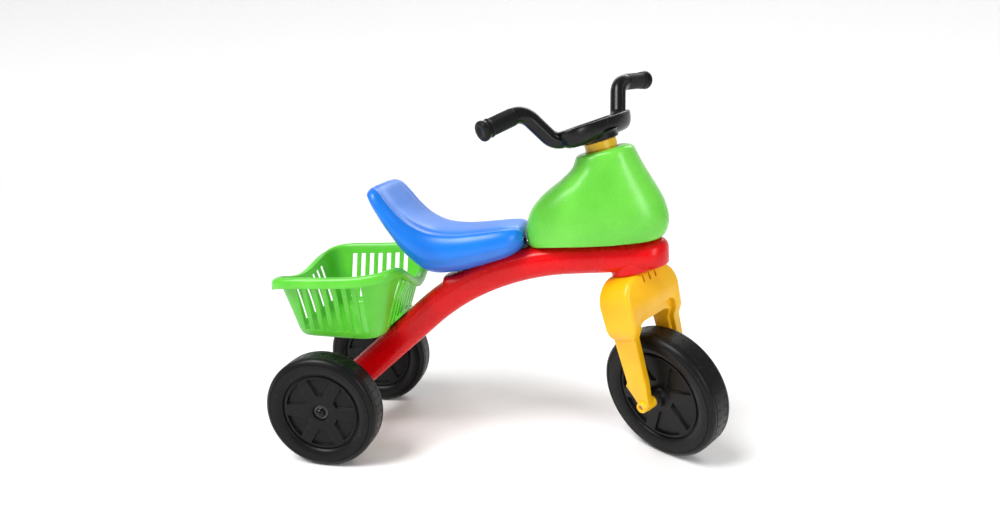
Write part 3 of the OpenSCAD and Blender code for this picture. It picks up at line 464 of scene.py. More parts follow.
def beam_ring(s, points=72):
    """One section of the beam: a rounded rectangle, with the pedestal raised out of its top."""
    at, slope = beam_line(s)
    up = over(slope)
    head = max(0, s - (beam_len - beam_head_w / 2)) / (beam_head_w / 2)
    tail = max(0, -s) / (beam_t / 2)
    w = (beam_w + (beam_head_w - beam_w) * max(0, min(1, (s - 250) / 130))) / 2
    w = max(0.8, w * math.sqrt(max(0, 1 - head ** 2)))
    t = beam_t / 2 * math.sqrt(max(0, 1 - tail ** 2))
    to_end = min(nose_r, beam_len - s)
    t = max(0.8, t - nose_r + math.sqrt(max(0, nose_r ** 2 - (nose_r - to_end) ** 2)))
    power = 3.2 - 0.7 * smooth(s, 280, 420)
    along = (at + up * beam_t / 2 - pedestal_at).dot(pedestal_dir)
    raised = smooth(along, -3, 4) * smooth(along, pedestal_len + 5, pedestal_len - 4)
    raised *= max(0, pedestal_lift(at + up * beam_t / 2, up))
    ring = []
    for k in range(points):
        y, h = squircle(360 * k / points, w, t, power)
        # a soft line along each shoulder, where the mould's halves blend
        y *= 1 - 0.022 * bump(h / t, 0.42, 0.09) * (1 - head)
        if h > 0:
            on_top = smooth(abs(y), pedestal_w / 2 + 2.5, pedestal_w / 2 - 2.5) * smooth(h / t, 0.2, 0.8)
            h += raised * on_top
        ring.append(Vector((at.x + h * up.x, -y, at.y + h * up.y)))
    return ring


def not_below(v, level, reach, soft):
    """Keeps a point clear of the crown that turns under the head: the head's underside is flat there."""
    p = Vector(v) - foot
    up = p.dot(stem_up)
    away = (p - stem_up * up).length
    if away < reach + soft:
        low = level - 14 * smooth(away, reach, reach + soft)
        if up < low:
            return Vector(v) + stem_up * (low - up)
    return Vector(v)


crown_top = 301
boss_low, boss_bore, boss_r, boss_h = crown_top + clearance, 24, 33, 25
head_r = beam_head_w / 2
stops = [-beam_t / 2 * sin(a) for a in (88, 80, 70, 60, 50, 40, 30, 20, 10)]
stops += [k * 6 for k in range(int((beam_len - head_r) / 6) + 1)]
stops += [beam_len - head_r + head_r * sin(a) for a in range(4, 89, 6)] + [beam_len - 0.4]
bm = skin([[not_below(v, boss_low, 60, 14) for v in beam_ring(s)] for s in stops])
# the round boss under the head that carries the lower steering bush
boss = lathe([(boss_bore, boss_low), (boss_r - 2, boss_low), (boss_r - 0.6, boss_low + 0.5),
              (boss_r, boss_low + 1.8), (boss_r, boss_low + boss_h), (boss_bore, boss_low + boss_h),
              (boss_bore, boss_low)])
boss.transform(steered)
piece("beam_moulding", join(bm, boss), "frame", red_plastic, ["main_beam"])

# %% [markdown]
# ## The cover round the stem
# A hollow boot-shaped moulding stands on the beam. It is broad and rounded low down, leans back with
# the stem and narrows to a flat top that the stem passes through. Its skin runs through eleven sections;
# where a section would dip into the beam, its points are lifted to lie on the beam's top.

# %% The cover
cover_rows = [[302, 309, 462, 333, 41], [286, 320, 479, 343, 48], [282, 345, 483.5, 365, 50],
              [289, 371, 476, 390, 49], [306, 393, 460, 416, 46.5], [328, 412, 447, 435, 43.5],
              [344, 428, 438, 450, 41], [349, 438, 432.5, 459.5, 39.5], [350.5, 444, 429.5, 463.5, 38],
              [353, 448, 425.5, 465.3, 35.5], [358, 450.5, 419, 466, 30]]
cover_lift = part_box("head_cover")[1].z / MM - cover_rows[-1][3]
stem_r, cover_hole_r = 21, 23.8


def beam_top(x):
    """Height of the beam's top face at x, with the clearance."""
    reach = bend_r + beam_t / 2 + clearance
    edge = bend_mid + reach * over(head_slope)
    if x > edge.x:
        return edge.y + (x - edge.x) * math.tan(math.radians(head_slope))
    return bend_mid.y + math.sqrt(reach ** 2 - (x - bend_mid.x) ** 2)


def cover_ring(u, points=80):
    """A section from (x0, z0) at the rear to (x1, z1) at the front, w to each side."""
    x0, z0, x1, z1, w = spline(cover_rows, u)
    lean = math.atan2(z1 - z0, x1 - x0)
    half = math.hypot(x1 - x0, z1 - z0) / 2
    ring = []
    for k in range(points):
        p, y = squircle(-360 * k / points, half, w, 2.35)
        x, z = (x0 + x1) / 2 + p * math.cos(lean), (z0 + z1) / 2 + p * math.sin(lean) + cover_lift
        ring.append(Vector((x, y, max(z, beam_top(x)))))
    return ring


rings = [cover_ring(u / 6) for u in range(6 * (len(cover_rows) - 1) + 1)]
top = rings[-1]
middle = sum(top, Vector()) / len(top)
top_up = (middle - foot).dot(stem_up)
hole_at = foot + stem_up * (top_up + 0.5)
normal = (top[20] - top[0]).cross(top[40] - top[0]).normalized()
for radius, drop in ((cover_hole_r + 3.2, 0.3), (cover_hole_r + 0.6, 0.2), (cover_hole_r, -0.8),
                     (cover_hole_r, -14)):
    ring = []
    for p in top:
        flat = p - middle
        out = (flat - stem_up * flat.dot(stem_up)).normalized()
        q = hole_at + out * radius
        # slide along the stem onto the sloping top
        q += stem_up * (drop - 0.5 - (q - middle).dot(normal) / stem_up.dot(normal))
        ring.append(q)
    rings.append(ring)
bm = skin(rings, caps=False)
bmesh.ops.contextual_create(bm, geom=[e for e in bm.edges if e.is_boundary and e.verts[0].co.z < 400])
piece("cover_moulding", bm, "frame", lime_plastic, ["head_cover"])

# %% [markdown]
# ## The saddle
# A hollow moulding: a broad back that sweeps up, sides drawn in underneath, and a nose that rests
# on the beam. Along the top runs a soft roll just inside the rim, and lower down a second faint line
# marks where the mould's halves meet. Both are small bumps added to the section before it is skinned.

# %% The saddle
saddle_rows = [[58.5, 397.5, 56, 392, 28], [64.5, 403.5, 54, 386, 50], [77, 402, 59, 371, 61.5],
               [91, 388, 72, 349, 66.3], [106, 372, 88, 324, 67], [125, 358, 109, 295, 67],
               [150, 349, 140, 273, 66.3], [182, 346, 182, 276, 64.3], [220, 349, 223, 288, 60.3],
               [255, 353, 257, 300, 54.3], [273, 352, 273, 311, 45.6], [280, 345, 280, 321, 33.5]]
nose_at, nose_slope = beam_line(354)
nose_up, nose_along = over(nose_slope), along_slope(nose_slope)
clamp_room = 14


def saddle_ring(u, points=96):
    """A section whose top middle is (x0, z0) and bottom middle (x1, z1), w to each side."""
    x0, z0, x1, z1, w = spline(saddle_rows, u)
    mid, up = Vector(((x0 + x1) / 2, (z0 + z1) / 2)), Vector((x0 - x1, z0 - z1)) / 2
    h = up.length
    up.normalize()
    ring = []
    for k in range(points):
        q = 360 * k / points
        p, t = squircle(q, w, h, 3 if q < 180 else 2.2)
        size = min(1, h / 22)
        if t > 0:
            across = abs(p) / w
            t -= 0.10 * h * (1 - across ** 2)
            t += size * (1.5 * bump(across, 0.84, 0.07) - 1.0 * bump(across, 0.68, 0.08))
        else:
            p *= 1 - 0.30 * (-t / h) ** 1.5
            p -= math.copysign(size * 1.3 * bump(-t / h, 0.30, 0.10), p)
        x, z = mid.x + t * up.x, mid.y + t * up.y
        # the underside lies on the pedestal's top
        from_rear = Vector((x, z)) - pedestal_at
        height = from_rear.dot(pedestal_up)
        if from_rear.dot(pedestal_dir) > -6 and height < clearance:
            lifted = (clearance - height) * smooth(from_rear.dot(pedestal_dir), -6, 2)
            x, z = x + lifted * pedestal_up.x, z + lifted * pedestal_up.y
        # room for the clamp plate and bolt under the nose
        from_nose = Vector((x, z)) - nose_at - nose_up * (beam_t / 2)
        near_clamp = abs(p) < 12 and from_nose.dot(nose_along) > -15
        if near_clamp and from_nose.dot(nose_up) < clamp_room:
            x, z = Vector((x, z)) + nose_up * (clamp_room - from_nose.dot(nose_up))
        ring.append(Vector((x, -p, z)))
    return ring


piece("saddle_moulding", skin([saddle_ring(u / 8) for u in range(8 * (len(saddle_rows) - 1) + 1)]), "frame",
      blue_plastic, ["seat"])

# %% [markdown]
# ## The basket
# It is injection-moulded: thin flaring walls with tall slots, and a deep rolled rim that is scooped
# at both ends. Its skin is a grid of loops round the basket, one above the other. The grid's columns
# are placed so that each slot is a strip of whole faces, which are simply deleted. A Solidify
# modifier then gives the wall its thickness, and a Bevel softens the moulded edges.

# %% Basket sizes and its grid
floor_l, floor_w, floor_z = 130, 162, 184
top_l, top_w, front_x, top_front_x = 182, 214, 76, 108
slot_w, slot_pitch, wall = 8, 15, 2.4
slot_foot, slot_below_rim = floor_z + 12, 16
rim_rear_z, rim_rise, rear_dip, front_dip, dip_reach = 272, 26, 14, 36, 18


def plan(t, grow):
    """Middle x, half length and half width of the basket at height share t."""
    half_l = (floor_l + (top_l - floor_l) * t) / 2 + grow
    half_w = (floor_w + (top_w - floor_w) * t) / 2 + grow
    return front_x + (top_front_x - front_x) * t + grow - half_l, half_l, half_w


def rim_height(x, y):
    """The rim climbs from rear to front and dips in the middle of both ends."""
    rear_x = top_front_x - top_l
    along = max(0, min(1, (x - rear_x) / top_l))
    rear, ahead_end = max(0, 1 - (x - rear_x) / dip_reach), max(0, 1 - (top_front_x - x) / dip_reach)
    scoop = math.cos(math.pi / 2 * min(1, abs(y) / (top_w / 2 - 14))) ** 2
    share = math.sqrt(along) + (along ** 2 - math.sqrt(along)) * along
    dip = rear_dip * min(1, rear) + front_dip * min(1, ahead_end)
    return rim_rear_z + rim_rise * share - dip * scoop


def cuts(count, middle):
    """Where the slots' edges fall along a wall."""
    return [middle + (i - (count - 1) / 2) * slot_pitch + d * slot_w / 2
            for i in range(count) for d in (-1, 1)]


side_cuts = cuts((floor_l - 22) // slot_pitch, (front_x + top_front_x - (floor_l + top_l) / 2) / 2)
end_cuts = cuts((floor_w - 30) // slot_pitch, 0)
corner_power, corner_steps = 6, 10


def loop_at(t, grow, height):
    """One loop of the grid, anticlockwise from the front wall; height is a number or a function."""
    mid, half_l, half_w = plan(t, grow)
    points = []

    def bulge(share):
        return (1 - min(1, share) ** corner_power) ** (1 / corner_power)

    def wall_end(y, sign):
        return Vector((mid + sign * half_l * bulge(abs(y) / half_w), y, 0))

    def wall_side(x, sign):
        return Vector((x, sign * half_w * bulge(abs(x - mid) / half_l), 0))

    def corner(sx, sy, to_side):
        a = math.degrees(math.asin((end_cuts[-1] / half_w) ** (corner_power / 2)))
        last = side_cuts[-1] if sx > 0 else side_cuts[0]
        b = math.degrees(math.acos(min(1, abs(last - mid) / half_l) ** (corner_power / 2)))
        for k in range(1, corner_steps):
            f = k / corner_steps if to_side else 1 - k / corner_steps
            p, q = squircle(a + (b - a) * f, half_l, half_w, corner_power)
            points.append(Vector((mid + sx * p, sy * q, 0)))

    points += [wall_end(y, 1) for y in end_cuts]
    corner(1, 1, True)
    points += [wall_side(x, 1) for x in reversed(side_cuts)]
    corner(-1, 1, False)
    points += [wall_end(y, -1) for y in reversed(end_cuts)]
    corner(-1, -1, True)
    points += [wall_side(x, -1) for x in side_cuts]
    corner(1, -1, False)
    for p in points:
        p.z = height(p.x, p.y) if callable(height) else height
    return points


def rim(drop):
    """Height function of a loop that lies this far below the rim's top."""
    def height(x, y):
        return rim_height(x, y) - drop
    return height


def between(share):
    """Height function of a loop between the slots' feet and their tops."""
    def height(x, y):
        return slot_foot + (rim_height(x, y) - slot_below_rim - slot_foot) * share
    return height


def slot_columns():
    """Where in a loop each slot's first edge comes: walls hold pairs of edges, between corners."""
    first, columns = 0, set()
    for count in (len(end_cuts), len(side_cuts)) * 2:
        columns |= set(range(first, first + count, 2))
        first += count + corner_steps - 1
    return columns


# %% The basket's skin
wall_rows = [(0, -4.5, floor_z + 1.2), (0, -1.5, floor_z + 1.8), (0.015, -0.3, floor_z + 4),
             (0.12, 0, slot_foot)]
loops = [loop_at(*wall_row) for wall_row in wall_rows]
foot_row, top_row = len(loops) - 1, len(loops) + 3
loops += [loop_at(0.12 + 0.72 * k / 4, 0, between(k / 4)) for k in (1, 2, 3, 4)]
loops += [loop_at(t, grow, rim(drop)) for t, grow, drop in (
    (0.93, -0.4, 9), (1, -1.2, 4.2), (1, -0.2, 2.2), (1, 1.6, 1.2), (1, 4.2, 1.2), (1, 6.4, 2.2),
    (1, 7.7, 4.6), (1, 7.8, 9), (1, 7.8, 14.6))]
bm = skin(loops, caps=False)
order, row = bm.verts.layers.int["order"], bm.verts.layers.int["row"]
columns = slot_columns()
slots = [f for f in bm.faces if min(v[row] for v in f.verts) in range(foot_row, top_row)
         and max(v[row] for v in f.verts) <= top_row and min(v[order] for v in f.verts) in columns
         and max(v[order] for v in f.verts) - min(v[order] for v in f.verts) == 1]
bmesh.ops.delete(bm, geom=slots, context="FACES_ONLY")
low_loop = [e for e in bm.edges if e.is_boundary and max(v.co.z for v in e.verts) < floor_z + 2]
bmesh.ops.contextual_create(bm, geom=low_loop)
# the floor's front edge and the wall over it ride up over the beam
rear_up = Vector((-sin(rear_slope), 0, cos(rear_slope)))
rear_dir = Vector((rear_up.z, 0, -rear_up.x))
for v in bm.verts:
    short = beam_t / 2 + 2.2 - (v.co - Vector((0, 0, rear_r))).dot(rear_up)
    near = smooth(abs(v.co.y), 38, 30)
    if short > 0 and near > 0 and v.co.x > 40:
        v.co += rear_up * short * near
print("slots:", len(slots), "faces cut")
basket = piece("basket_moulding", bm, "frame", green_plastic, ["basket"], sharp=50)
solid = basket.modifiers.new("wall", "SOLIDIFY")
solid.thickness, solid.offset, solid.use_even_offset = wall * MM, 0, True
soften = basket.modifiers.new("edges", "BEVEL")
soften.width, soften.segments = 0.6 * MM, 2
soften.limit_method, soften.angle_limit = "ANGLE", math.radians(50)

# %% [markdown]
# The basket is held by a tab that runs up the beam, with two screws. It is a plate with rounded
# corners, moulded on the floor's front edge.

# %% The tab on the beam
bm = bmesh.new()
bmesh.ops.create_cube(bm, size=1)
tab_l, tab_w, tab_t, tab_along = 46, 40, 4.6, 132
bmesh.ops.transform(bm, matrix=Matrix.Diagonal((tab_l, tab_w, tab_t, 1)), verts=bm.verts)
bevel(bm, [e for e in bm.edges if abs((e.verts[0].co - e.verts[1].co).z) > 3], 6, 4)
bevel(bm, sharp_edges(bm, 60, lambda e: min(v.co.z for v in e.verts) > 0), 1.2, 2)
tab_frame = Matrix((rear_dir, Vector((0, 1, 0)), rear_up)).transposed().to_4x4()
tab_frame.translation = Vector((0, 0, rear_r)) + rear_dir * tab_along
tab_frame.translation += rear_up * (beam_t / 2 + clearance + tab_t / 2)
piece("basket_tab", bm, "frame", green_plastic, matrix=tab_frame)

# %% [markdown]
# ## The wheels
# Each wheel is a blow-moulded drum with a rounded shoulder, a notched tread and a disc face with six
# spokes between sunk pockets. A profile spun about the axle gives the drum. The columns of the disc
# are then slid round so that each spoke keeps one width, and the faces between spokes are inset. The
# profile's outer stretch is drawn for a wheel of radius 85 and moved out for a larger one.

# %% One wheel, about local Z with its outer face up
def polar(v):
    return math.hypot(v.x, v.y), math.degrees(math.atan2(v.y, v.x)) % 360


def wheel(radius, width, groove, hub_out, hub_in, bore, columns=180, spokes=6, spoke_half=8.5):
    """groove is the radius of the ring groove round the disc; hub_out and hub_in are half lengths."""
    h, hub_r, recess_r, shoulder_r = width / 2, 17, 12, 9
    disc = h - 5
    inner, outer = 26, groove - 5
    wider = radius - 85
    notch_from, notch_to = 13, 19

    def half(hub):
        """The profile of one side, from the bore over the disc to the tread."""
        if hub < disc:
            start = [(bore, hub), (recess_r - 1, hub), (recess_r - 0.2, hub + 0.5), (recess_r, disc - 1),
                     (recess_r + 0.4, disc - 0.2), (recess_r + 1.2, disc)]
        else:
            start = [(bore, hub), (hub_r - 3, hub), (hub_r - 2.2, hub - 0.7), (hub_r - 1, disc + 2),
                     (hub_r, disc + 0.6), (hub_r + 1.6, disc)]
        face = [(22, disc), (inner, disc), ((inner * 2 + outer) / 3, disc), ((inner + outer * 2) / 3, disc),
                (outer, disc), (groove - 2.6, disc), (groove - 1.9, disc - 0.4), (groove - 1.3, disc - 2.4),
                (groove + 0.4, disc - 2.4), (groove + 1, disc - 0.2), (groove + 1.8, disc + 0.9),
                (groove + 6, h - 1.6), (groove + 11, h - 0.5)]
        edge = [(74.6, h), (75.6, h - 0.1), (76, h - 0.9), (76.8, h - 0.9), (77.3, h - 0.15)]
        edge += [(85 - shoulder_r + shoulder_r * cos(a), h - shoulder_r + shoulder_r * sin(a))
                 for a in range(72, 0, -12)]
        edge += [(84.8, h - 9.6), (84, h - 10), (84, h - 10.8), (84.8, h - 11.3), (85, h - 12),
                 (85, h - notch_from), (85, h - notch_to)]
        return start + face + [(r + wider, z) for r, z in edge]

    profile = half(hub_out) + [(r, -z) for r, z in reversed(half(hub_in))]
    bm = lathe(profile + profile[:1], columns)
    bmesh.ops.recalc_face_normals(bm, faces=bm.faces)
    sector = 360 / spokes
    for v in bm.verts:
        r, a = polar(v.co)
        if 20 < r < groove - 3 and abs(v.co.z) > disc - 0.1:
            share = (a % sector) / sector
            edge = min(24, math.degrees(math.asin(spoke_half / r)))
            local = (edge * share / 0.1 if share < 0.1 else sector - edge * (1 - share) / 0.1 if share > 0.9
                     else edge + (share - 0.1) / 0.8 * (sector - 2 * edge))
            v.co.x, v.co.y = r * cos(a - a % sector + local), r * sin(a - a % sector + local)
    pockets, notches = [], []
    for f in bm.faces:
        c = f.calc_center_median()
        r, turned = polar(c)
        a = turned % sector
        edge = math.degrees(math.asin(min(1, spoke_half / max(r, 1))))
        if inner < r < outer and abs(c.z) > disc - 0.1 and edge < a < sector - edge:
            pockets.append(f)
        column = int(turned / (360 / columns))
        if r > radius - 0.6 and notch_from < h - abs(c.z) < notch_to and column % 4 == 0:
            notches.append(f)
    bmesh.ops.inset_region(bm, faces=pockets, thickness=1.5, depth=-4.2, use_even_offset=True)
    bmesh.ops.inset_individual(bm, faces=notches, thickness=0.8, depth=-0.5)
    corners = sharp_edges(bm, 40, lambda e: abs(e.verts[0].co.z - e.verts[1].co.z) > 3
                          and inner - 4 < e.verts[0].co.xy.length < outer + 4)
    bevel(bm, corners, 3.5, 3)
    rims = sharp_edges(bm, 35, lambda e: inner - 4 < e.verts[0].co.xy.length < outer + 3
                       and abs(e.verts[0].co.z) > disc - 5 and abs(e.verts[0].co.z - e.verts[1].co.z) < 0.5)
    bevel(bm, rims, 0.7, 2)
    return bm


def axle_frame(centre, outward):
    """Local Z on the axle, pointing outward, local X forward."""
    x = ahead if outward == side else Vector((1, 0, 0))
    m = Matrix((x, outward.cross(x), outward)).transposed().to_4x4()
    m.translation = centre
    return m


cap_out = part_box("rear_axle_caps")[1].y / MM
track_half = rear_hub["left"].y
bush_flange = 1.5
bush_in, bush_out = (corner.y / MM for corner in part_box("rear_bushes_left"))
hub_in, hub_out = track_half - bush_in - bush_flange, bush_out - bush_flange - track_half
for which, sign in (("left", 1), ("right", -1)):
    place = axle_frame(rear_hub[which], Vector((0, sign, 0)))
    piece(f"wheel_rear_{which}_moulding", wheel(rear_r, 42, 58, hub_out, hub_in, 7.6), f"rear_wheel_{which}",
          wheel_plastic, [f"rear_wheel_{which}"], matrix=place)
front_hub_half = 29.1
piece("wheel_front_moulding", wheel(100, 46, 70, front_hub_half, front_hub_half, 6.6), "front_wheel",
      wheel_plastic, ["front_wheel"], matrix=axle_frame(front_hub, side))

# %% [markdown]
# A domed cap is pushed on each end of the rear axle. It is spun from a short profile with a flat
# skirt and a rounded crown.

# %% Axle caps
dome_r, dome_h = 6.9, 4.4
caps = bmesh.new()
for sign in (1, -1):
    outer = cap_out - track_half
    skirt = [(5.1, outer - 8), (7.5, outer - 8), (7.5, outer - 6.9), (dome_r, outer - 6.3),
             (dome_r, outer - dome_h)]
    dome = [(dome_r * cos(a), outer - dome_h + dome_h * sin(a)) for a in range(12, 90, 12)]
    cap = lathe(skirt + dome + [(0, outer)], 48)
    cap.transform(axle_frame(Vector((0, sign * track_half, rear_r)), Vector((0, sign, 0))))
    join(caps, cap)
piece("axle_caps_domed", caps, "frame", bar_plastic, ["rear_axle_caps"])

# %% [markdown]
# ## The fork
# One yellow moulding makes crown, legs and stem. Seen from the front it is an arch with round
# shoulders; seen from the side it is deep at the crown and narrows down the legs. So its front
# outline is cut into bands, extruded from front to back, and each band's corners are moved to the
# side outline. A second, thinner arch stands back inside the first, which leaves the ledge, and three
# short notches are cut across the crown's front edge.

# %% The fork's outlines
half_w, half_gap, arch_top, collar_low = 58, 31, 231, 491.53
crown_low, shoulder_r, ledge_w, ledge_h = 219, 34, 5, 14
leg_in, leg_out = half_gap + 4, half_w - 5
front_line = [(hub_up - 12, 4), (hub_up, 4), (hub_up + 36, 10), (213, 14), (227, 23), (263, 27), (301, 24)]
rear_line = [(hub_up - 12, -14), (hub_up, -14), (hub_up + 32, -25), (213, -26), (227, -32), (263, -32),
             (301, -26)]


def along_line(line, z):
    for (z0, x0), (z1, x1) in zip(line, line[1:]):
        if z <= z1:
            return x0 + (x1 - x0) * max(0, (z - z0) / (z1 - z0))
    return line[-1][1]


def arc(cy, cz, r, start, end, n=8):
    angles = [start + (end - start) * k / n for k in range(n + 1)]
    return [(cy + r * cos(a), cz + r * sin(a)) for a in angles]


def arch(opening, top, corner, outer, step_out, foot_z):
    """Right half of an arch outline from the top middle round to the inside middle, then mirrored."""
    shoulder = arc(outer - shoulder_r, crown_top - shoulder_r, shoulder_r, 90, 0)
    leg = [(outer, crown_low), (step_out, crown_low - 6), (step_out - 1, foot_z), (opening, foot_z)]
    inside = arc(opening - corner, top - corner, corner, 0, 90, 5)
    half = [(0, crown_top)] + shoulder + leg + inside + [(0, top)]
    return half + [(-y, z) for y, z in reversed(half[1:-1])]


def slab(outline, levels, front, rear):
    """An outline cut into bands at the levels, its front and rear faces following two side lines."""
    bm = bmesh.new()
    verts = bmesh.ops.create_circle(bm, segments=len(outline), radius=1, cap_ends=True)["verts"]
    for v, (y, z) in zip(verts, outline):
        v.co = (0, y, z)
    for z in levels:
        bmesh.ops.bisect_plane(bm, geom=bm.verts[:] + bm.edges[:] + bm.faces[:], plane_co=(0, 0, z),
                               plane_no=(0, 0, 1), dist=0.001)
    rear_verts = set(verts_of(bmesh.ops.extrude_face_region(bm, geom=bm.faces[:])["geom"]))
    for v in bm.verts:
        v.co.x = rear(v.co.z) if v in rear_verts else front(v.co.z)
    bmesh.ops.recalc_face_normals(bm, faces=bm.faces)
    return bm


def carved(bm, cutters):
    """The shape of bm with the cutters' volume taken out, by a Boolean modifier."""
    objs = []
    for name, source in (("shape", bm), ("cutters", cutters)):
        mesh = bpy.data.meshes.new(name)
        bmesh.ops.recalc_face_normals(source, faces=source.faces)
        source.to_mesh(mesh)
        source.free()
        objs.append(bpy.data.objects.new(name, mesh))
        bpy.context.scene.collection.objects.link(objs[-1])
    cut = objs[0].modifiers.new("cut", "BOOLEAN")
    cut.object, cut.operation, cut.solver = objs[1], "DIFFERENCE", "EXACT"
    result = bmesh.new()
    result.from_object(objs[0], bpy.context.evaluated_depsgraph_get())
    for obj in objs:
        mesh = obj.data
        bpy.data.objects.remove(obj)
        bpy.data.meshes.remove(mesh)
    return result


def outside(e):
    """Whether an edge lies on the fork's outline, not round its opening."""
    return max(abs(v.co.y) for v in e.verts) > leg_out - 2 or max(v.co.z for v in e.verts) > 262


levels = sorted({z for z, _ in front_line + rear_line if 108 < z < 300})
fork = slab(arch(leg_in + ledge_w, arch_top + ledge_h, 10, half_w, leg_out, hub_up - 1), levels,
            lambda z: along_line(front_line, z), lambda z: along_line(rear_line, z))
for low, high, face, width in ((crown_low, 400, 1, 7), (crown_low, 400, -1, 4), (0, crown_low, 1, 3),
                               (0, crown_low, -1, 3)):
    bevel(fork, sharp_edges(fork, 50, lambda e: low < (e.verts[0].co.z + e.verts[1].co.z) / 2 < high
                            and e.verts[0].co.x * face > 0 and outside(e)), width, 5, clamp=False)
bevel(fork, sharp_edges(fork, 50, lambda e: all(abs(v.co.y) < leg_in + ledge_w + 0.1
                                                and v.co.z < arch_top + ledge_h + 0.1
                                                for v in e.verts)), 1.5, 2)
# three short notches across the crown's top front edge
notched = bmesh.new()
for y in (-13, 0, 13):
    cutter = bmesh.ops.create_cube(notched, size=1)["verts"]
    bmesh.ops.transform(notched, verts=cutter, matrix=Matrix.Translation((25, y, 293)) @ Matrix.Rotation(
        math.radians(35), 4, "Y") @ Matrix.Diagonal((8, 3, 22, 1)))
fork = carved(fork, notched)
inner_arch = slab(arch(leg_in, arch_top, 12, half_w - 12, leg_out - 8, hub_up - 1), levels,
                  lambda z: along_line(front_line, z) - 8, lambda z: along_line(rear_line, z) + 4)
bevel(inner_arch, sharp_edges(inner_arch, 50), 1.2, 2)
join(fork, inner_arch)
# the axle bosses at the legs' feet, with the axle's end sunk in each
across = Matrix((Vector((1, 0, 0)), Vector((0, 0, -1)), Vector((0, 1, 0)))).transposed().to_4x4()
for sign in (1, -1):
    boss = lathe([(4.1, half_gap), (8.6, half_gap), (9.6, half_gap + 1), (9.6, 46), (8.2, half_w - 1.6),
                  (7.2, half_w), (5, half_w), (4.3, half_w - 0.8), (4.1, half_w - 3), (4.1, half_gap)], 48)
    boss.transform(Matrix.Translation((-axle_back, 0, hub_up)) @ Matrix.Diagonal((1, sign, 1, 1)) @ across)
    join(fork, boss)
stem = lathe([(4.2, 296), (stem_r, 296), (stem_r, top_up + 1.2), (21.8, top_up + 1.2), (22.4, top_up + 1.8),
              (22.4, collar_low - 0.8), (22, collar_low - 0.4), (4.2, collar_low - 0.4), (4.2, 296)], 72)
join(fork, stem)
piece("fork_moulding", fork, "steering", yellow_plastic, ["fork"], matrix=steered)

# %% [markdown]
# ## The handlebar
# A shallow boat-shaped dish sits on the stem, and a tube grows out of each end of it: it rises, bends
# outwards and carries a hand grip. Dish and tube are one black moulding. The dish is a skin through
# outlines from its collar up over the rim and down inside. The tube is a skin along a line with two
# bends, and its section has a shallow groove front and back, where the mould closes.

# %% The dish
dish_top = collar_low + 28
dish_half_l, dish_half_w = 66, 23


def dish_outline(inset, z, points=96):
    """A long oval across the bike, bowed forward in front and a little behind."""
    ring = []
    for k in range(points):
        y, x = squircle(360 * k / points, dish_half_l - inset, dish_half_w - inset, 3.4)
        bow = 10 * (1 - (y / dish_half_l) ** 2) * (1 if x > 0 else 0.3)
        ring.append(Vector((x * 0.94 - 3 + bow, y, z)))
    return ring


dish_rows = [(17, 2.4), (13, 3), (9, 4.6), (5.5, 7.6), (2.8, 11.6), (1, 16.8), (0.2, 22), (0, 24.5),
             (0.4, 26.4), (1.4, 27.6), (2.8, 28), (4.4, 27.8), (5.8, 26.8), (6.8, 24.8), (7.4, 21),
             (7.8, 17.5), (8.8, 15.6), (10.5, 15), (17, 15)]
bar = skin([dish_outline(inset, collar_low + up) for inset, up in dish_rows])
collar = lathe([(21.1, collar_low), (25.4, collar_low), (26.6, collar_low + 0.6), (27, collar_low + 2),
                (27, collar_low + 7), (27.6, collar_low + 9), (30, collar_low + 11), (21.1, collar_low + 11),
                (21.1, collar_low)], 72)
join(bar, collar)

# %% The tube on both sides
bar_r, bar_bend = 11.25, 26


def bar_points(sign):
    """The corners of the tube's line on one side, before they are bent round."""
    return [Vector(p) for p in ((-6, sign * 34, dish_top - 12), (-18, sign * 66, dish_top - 11),
                                (-27, sign * 97, dish_top + 39), (-34, sign * 164, dish_top + 31))]


def bent_line(points, radius, straight=5):
    """Points and directions along straight runs joined by arcs."""
    line = []
    last = points[0]
    for a, b, c in zip(points, points[1:], points[2:]):
        d0, d1 = (b - a).normalized(), (c - b).normalized()
        angle = d0.angle(d1)
        start = b - d0 * radius * math.tan(angle / 2)
        line += [(last.lerp(start, k / straight), d0) for k in range(straight)]
        axis = d0.cross(d1).normalized()
        centre = start + axis.cross(d0) * radius
        for k in range(12):
            turn_by = Matrix.Rotation(angle * k / 12, 3, axis)
            line.append((centre + turn_by @ (start - centre), turn_by @ d0))
        last = b + d1 * radius * math.tan(angle / 2)
    end = points[-1]
    line += [(last.lerp(end, k / straight), d1) for k in range(straight + 1)]
    return line


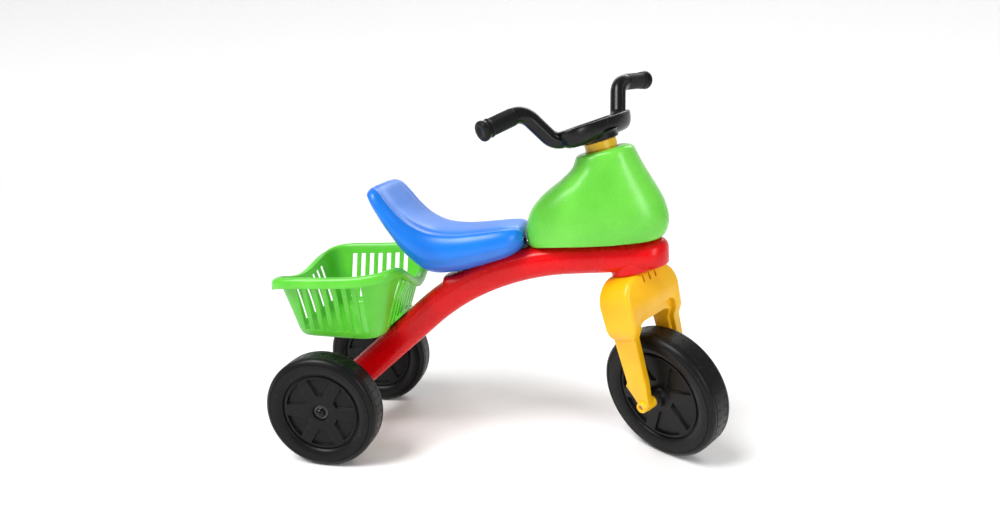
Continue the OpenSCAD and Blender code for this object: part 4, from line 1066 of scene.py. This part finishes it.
def tube_ring(at, direction, radius, points=48, groove=1.1):
    """The tube's section at a point of its line, with the groove front and back."""
    front = Vector((1, 0, 0))
    front = (front - direction * front.dot(direction)).normalized()
    third = direction.cross(front)
    ring = []
    for k in range(points):
        a = 360 * k / points
        near = min(abs((a + 180) % 360 - 180), abs(a - 180))
        r = radius - groove * bump(near, 0, 13)
        ring.append(at + (front * cos(a) + third * sin(a)) * r)
    return ring


grip_len, grip_past, tube_in_grip = 54, 4, 1
for sign in (1, -1):
    points = bar_points(sign)
    out = (points[3] - points[2]).normalized()
    points[3] += out * (grip_past - grip_len + tube_in_grip)
    rings = [tube_ring(p, d, bar_r) for p, d in bent_line(points, bar_bend)]
    join(bar, skin(rings))
piece("handlebar_moulding", bar, "steering", bar_plastic, ["handlebar"], matrix=steered)

# %% [markdown]
# ## The grips
# Each grip is a soft vinyl sleeve: fine ribs round it for most of its length, a bead, and a flared
# round end that stops the hand. All of it is one profile, spun.

# %% Grips
grip_r = bar_r + 0.5
profile = [(9.3, 0), (grip_r - 0.6, 0), (grip_r - 0.2, 0.5)]
for k in range(12):
    z = 1.6 + k * 3
    profile += [(grip_r - 0.55, z - 0.5), (grip_r, z + 0.2), (grip_r, z + 1.5), (grip_r - 0.55, z + 2.1)]
profile += [(grip_r - 0.5, 38.2), (grip_r + 0.5, 38.8), (grip_r + 0.9, 39.8), (grip_r + 0.5, 40.9),
            (grip_r - 0.5, 41.6), (grip_r - 0.4, 43), (grip_r + 0.5, 45.4), (grip_r + 1.4, 47.6),
            (grip_r + 1.8, 49.6), (grip_r + 1.7, 51.6), (grip_r + 1, 53), (grip_r - 0.4, 53.8),
            (grip_r - 2, 54), (5, 54), (4, 53.4), (0, 53.2)]
for which, sign in (("left", 1), ("right", -1)):
    points = bar_points(sign)
    out = (points[3] - points[2]).normalized()
    pointed = out.to_track_quat("Z", "Y").to_matrix().to_4x4()
    place = Matrix.Translation(points[3] + out * (grip_past - grip_len)) @ pointed
    piece(f"grip_{which}_sleeve", lathe(profile, 72), "steering", grip_rubber,
          [f"grip_{which}"], matrix=steered @ place)
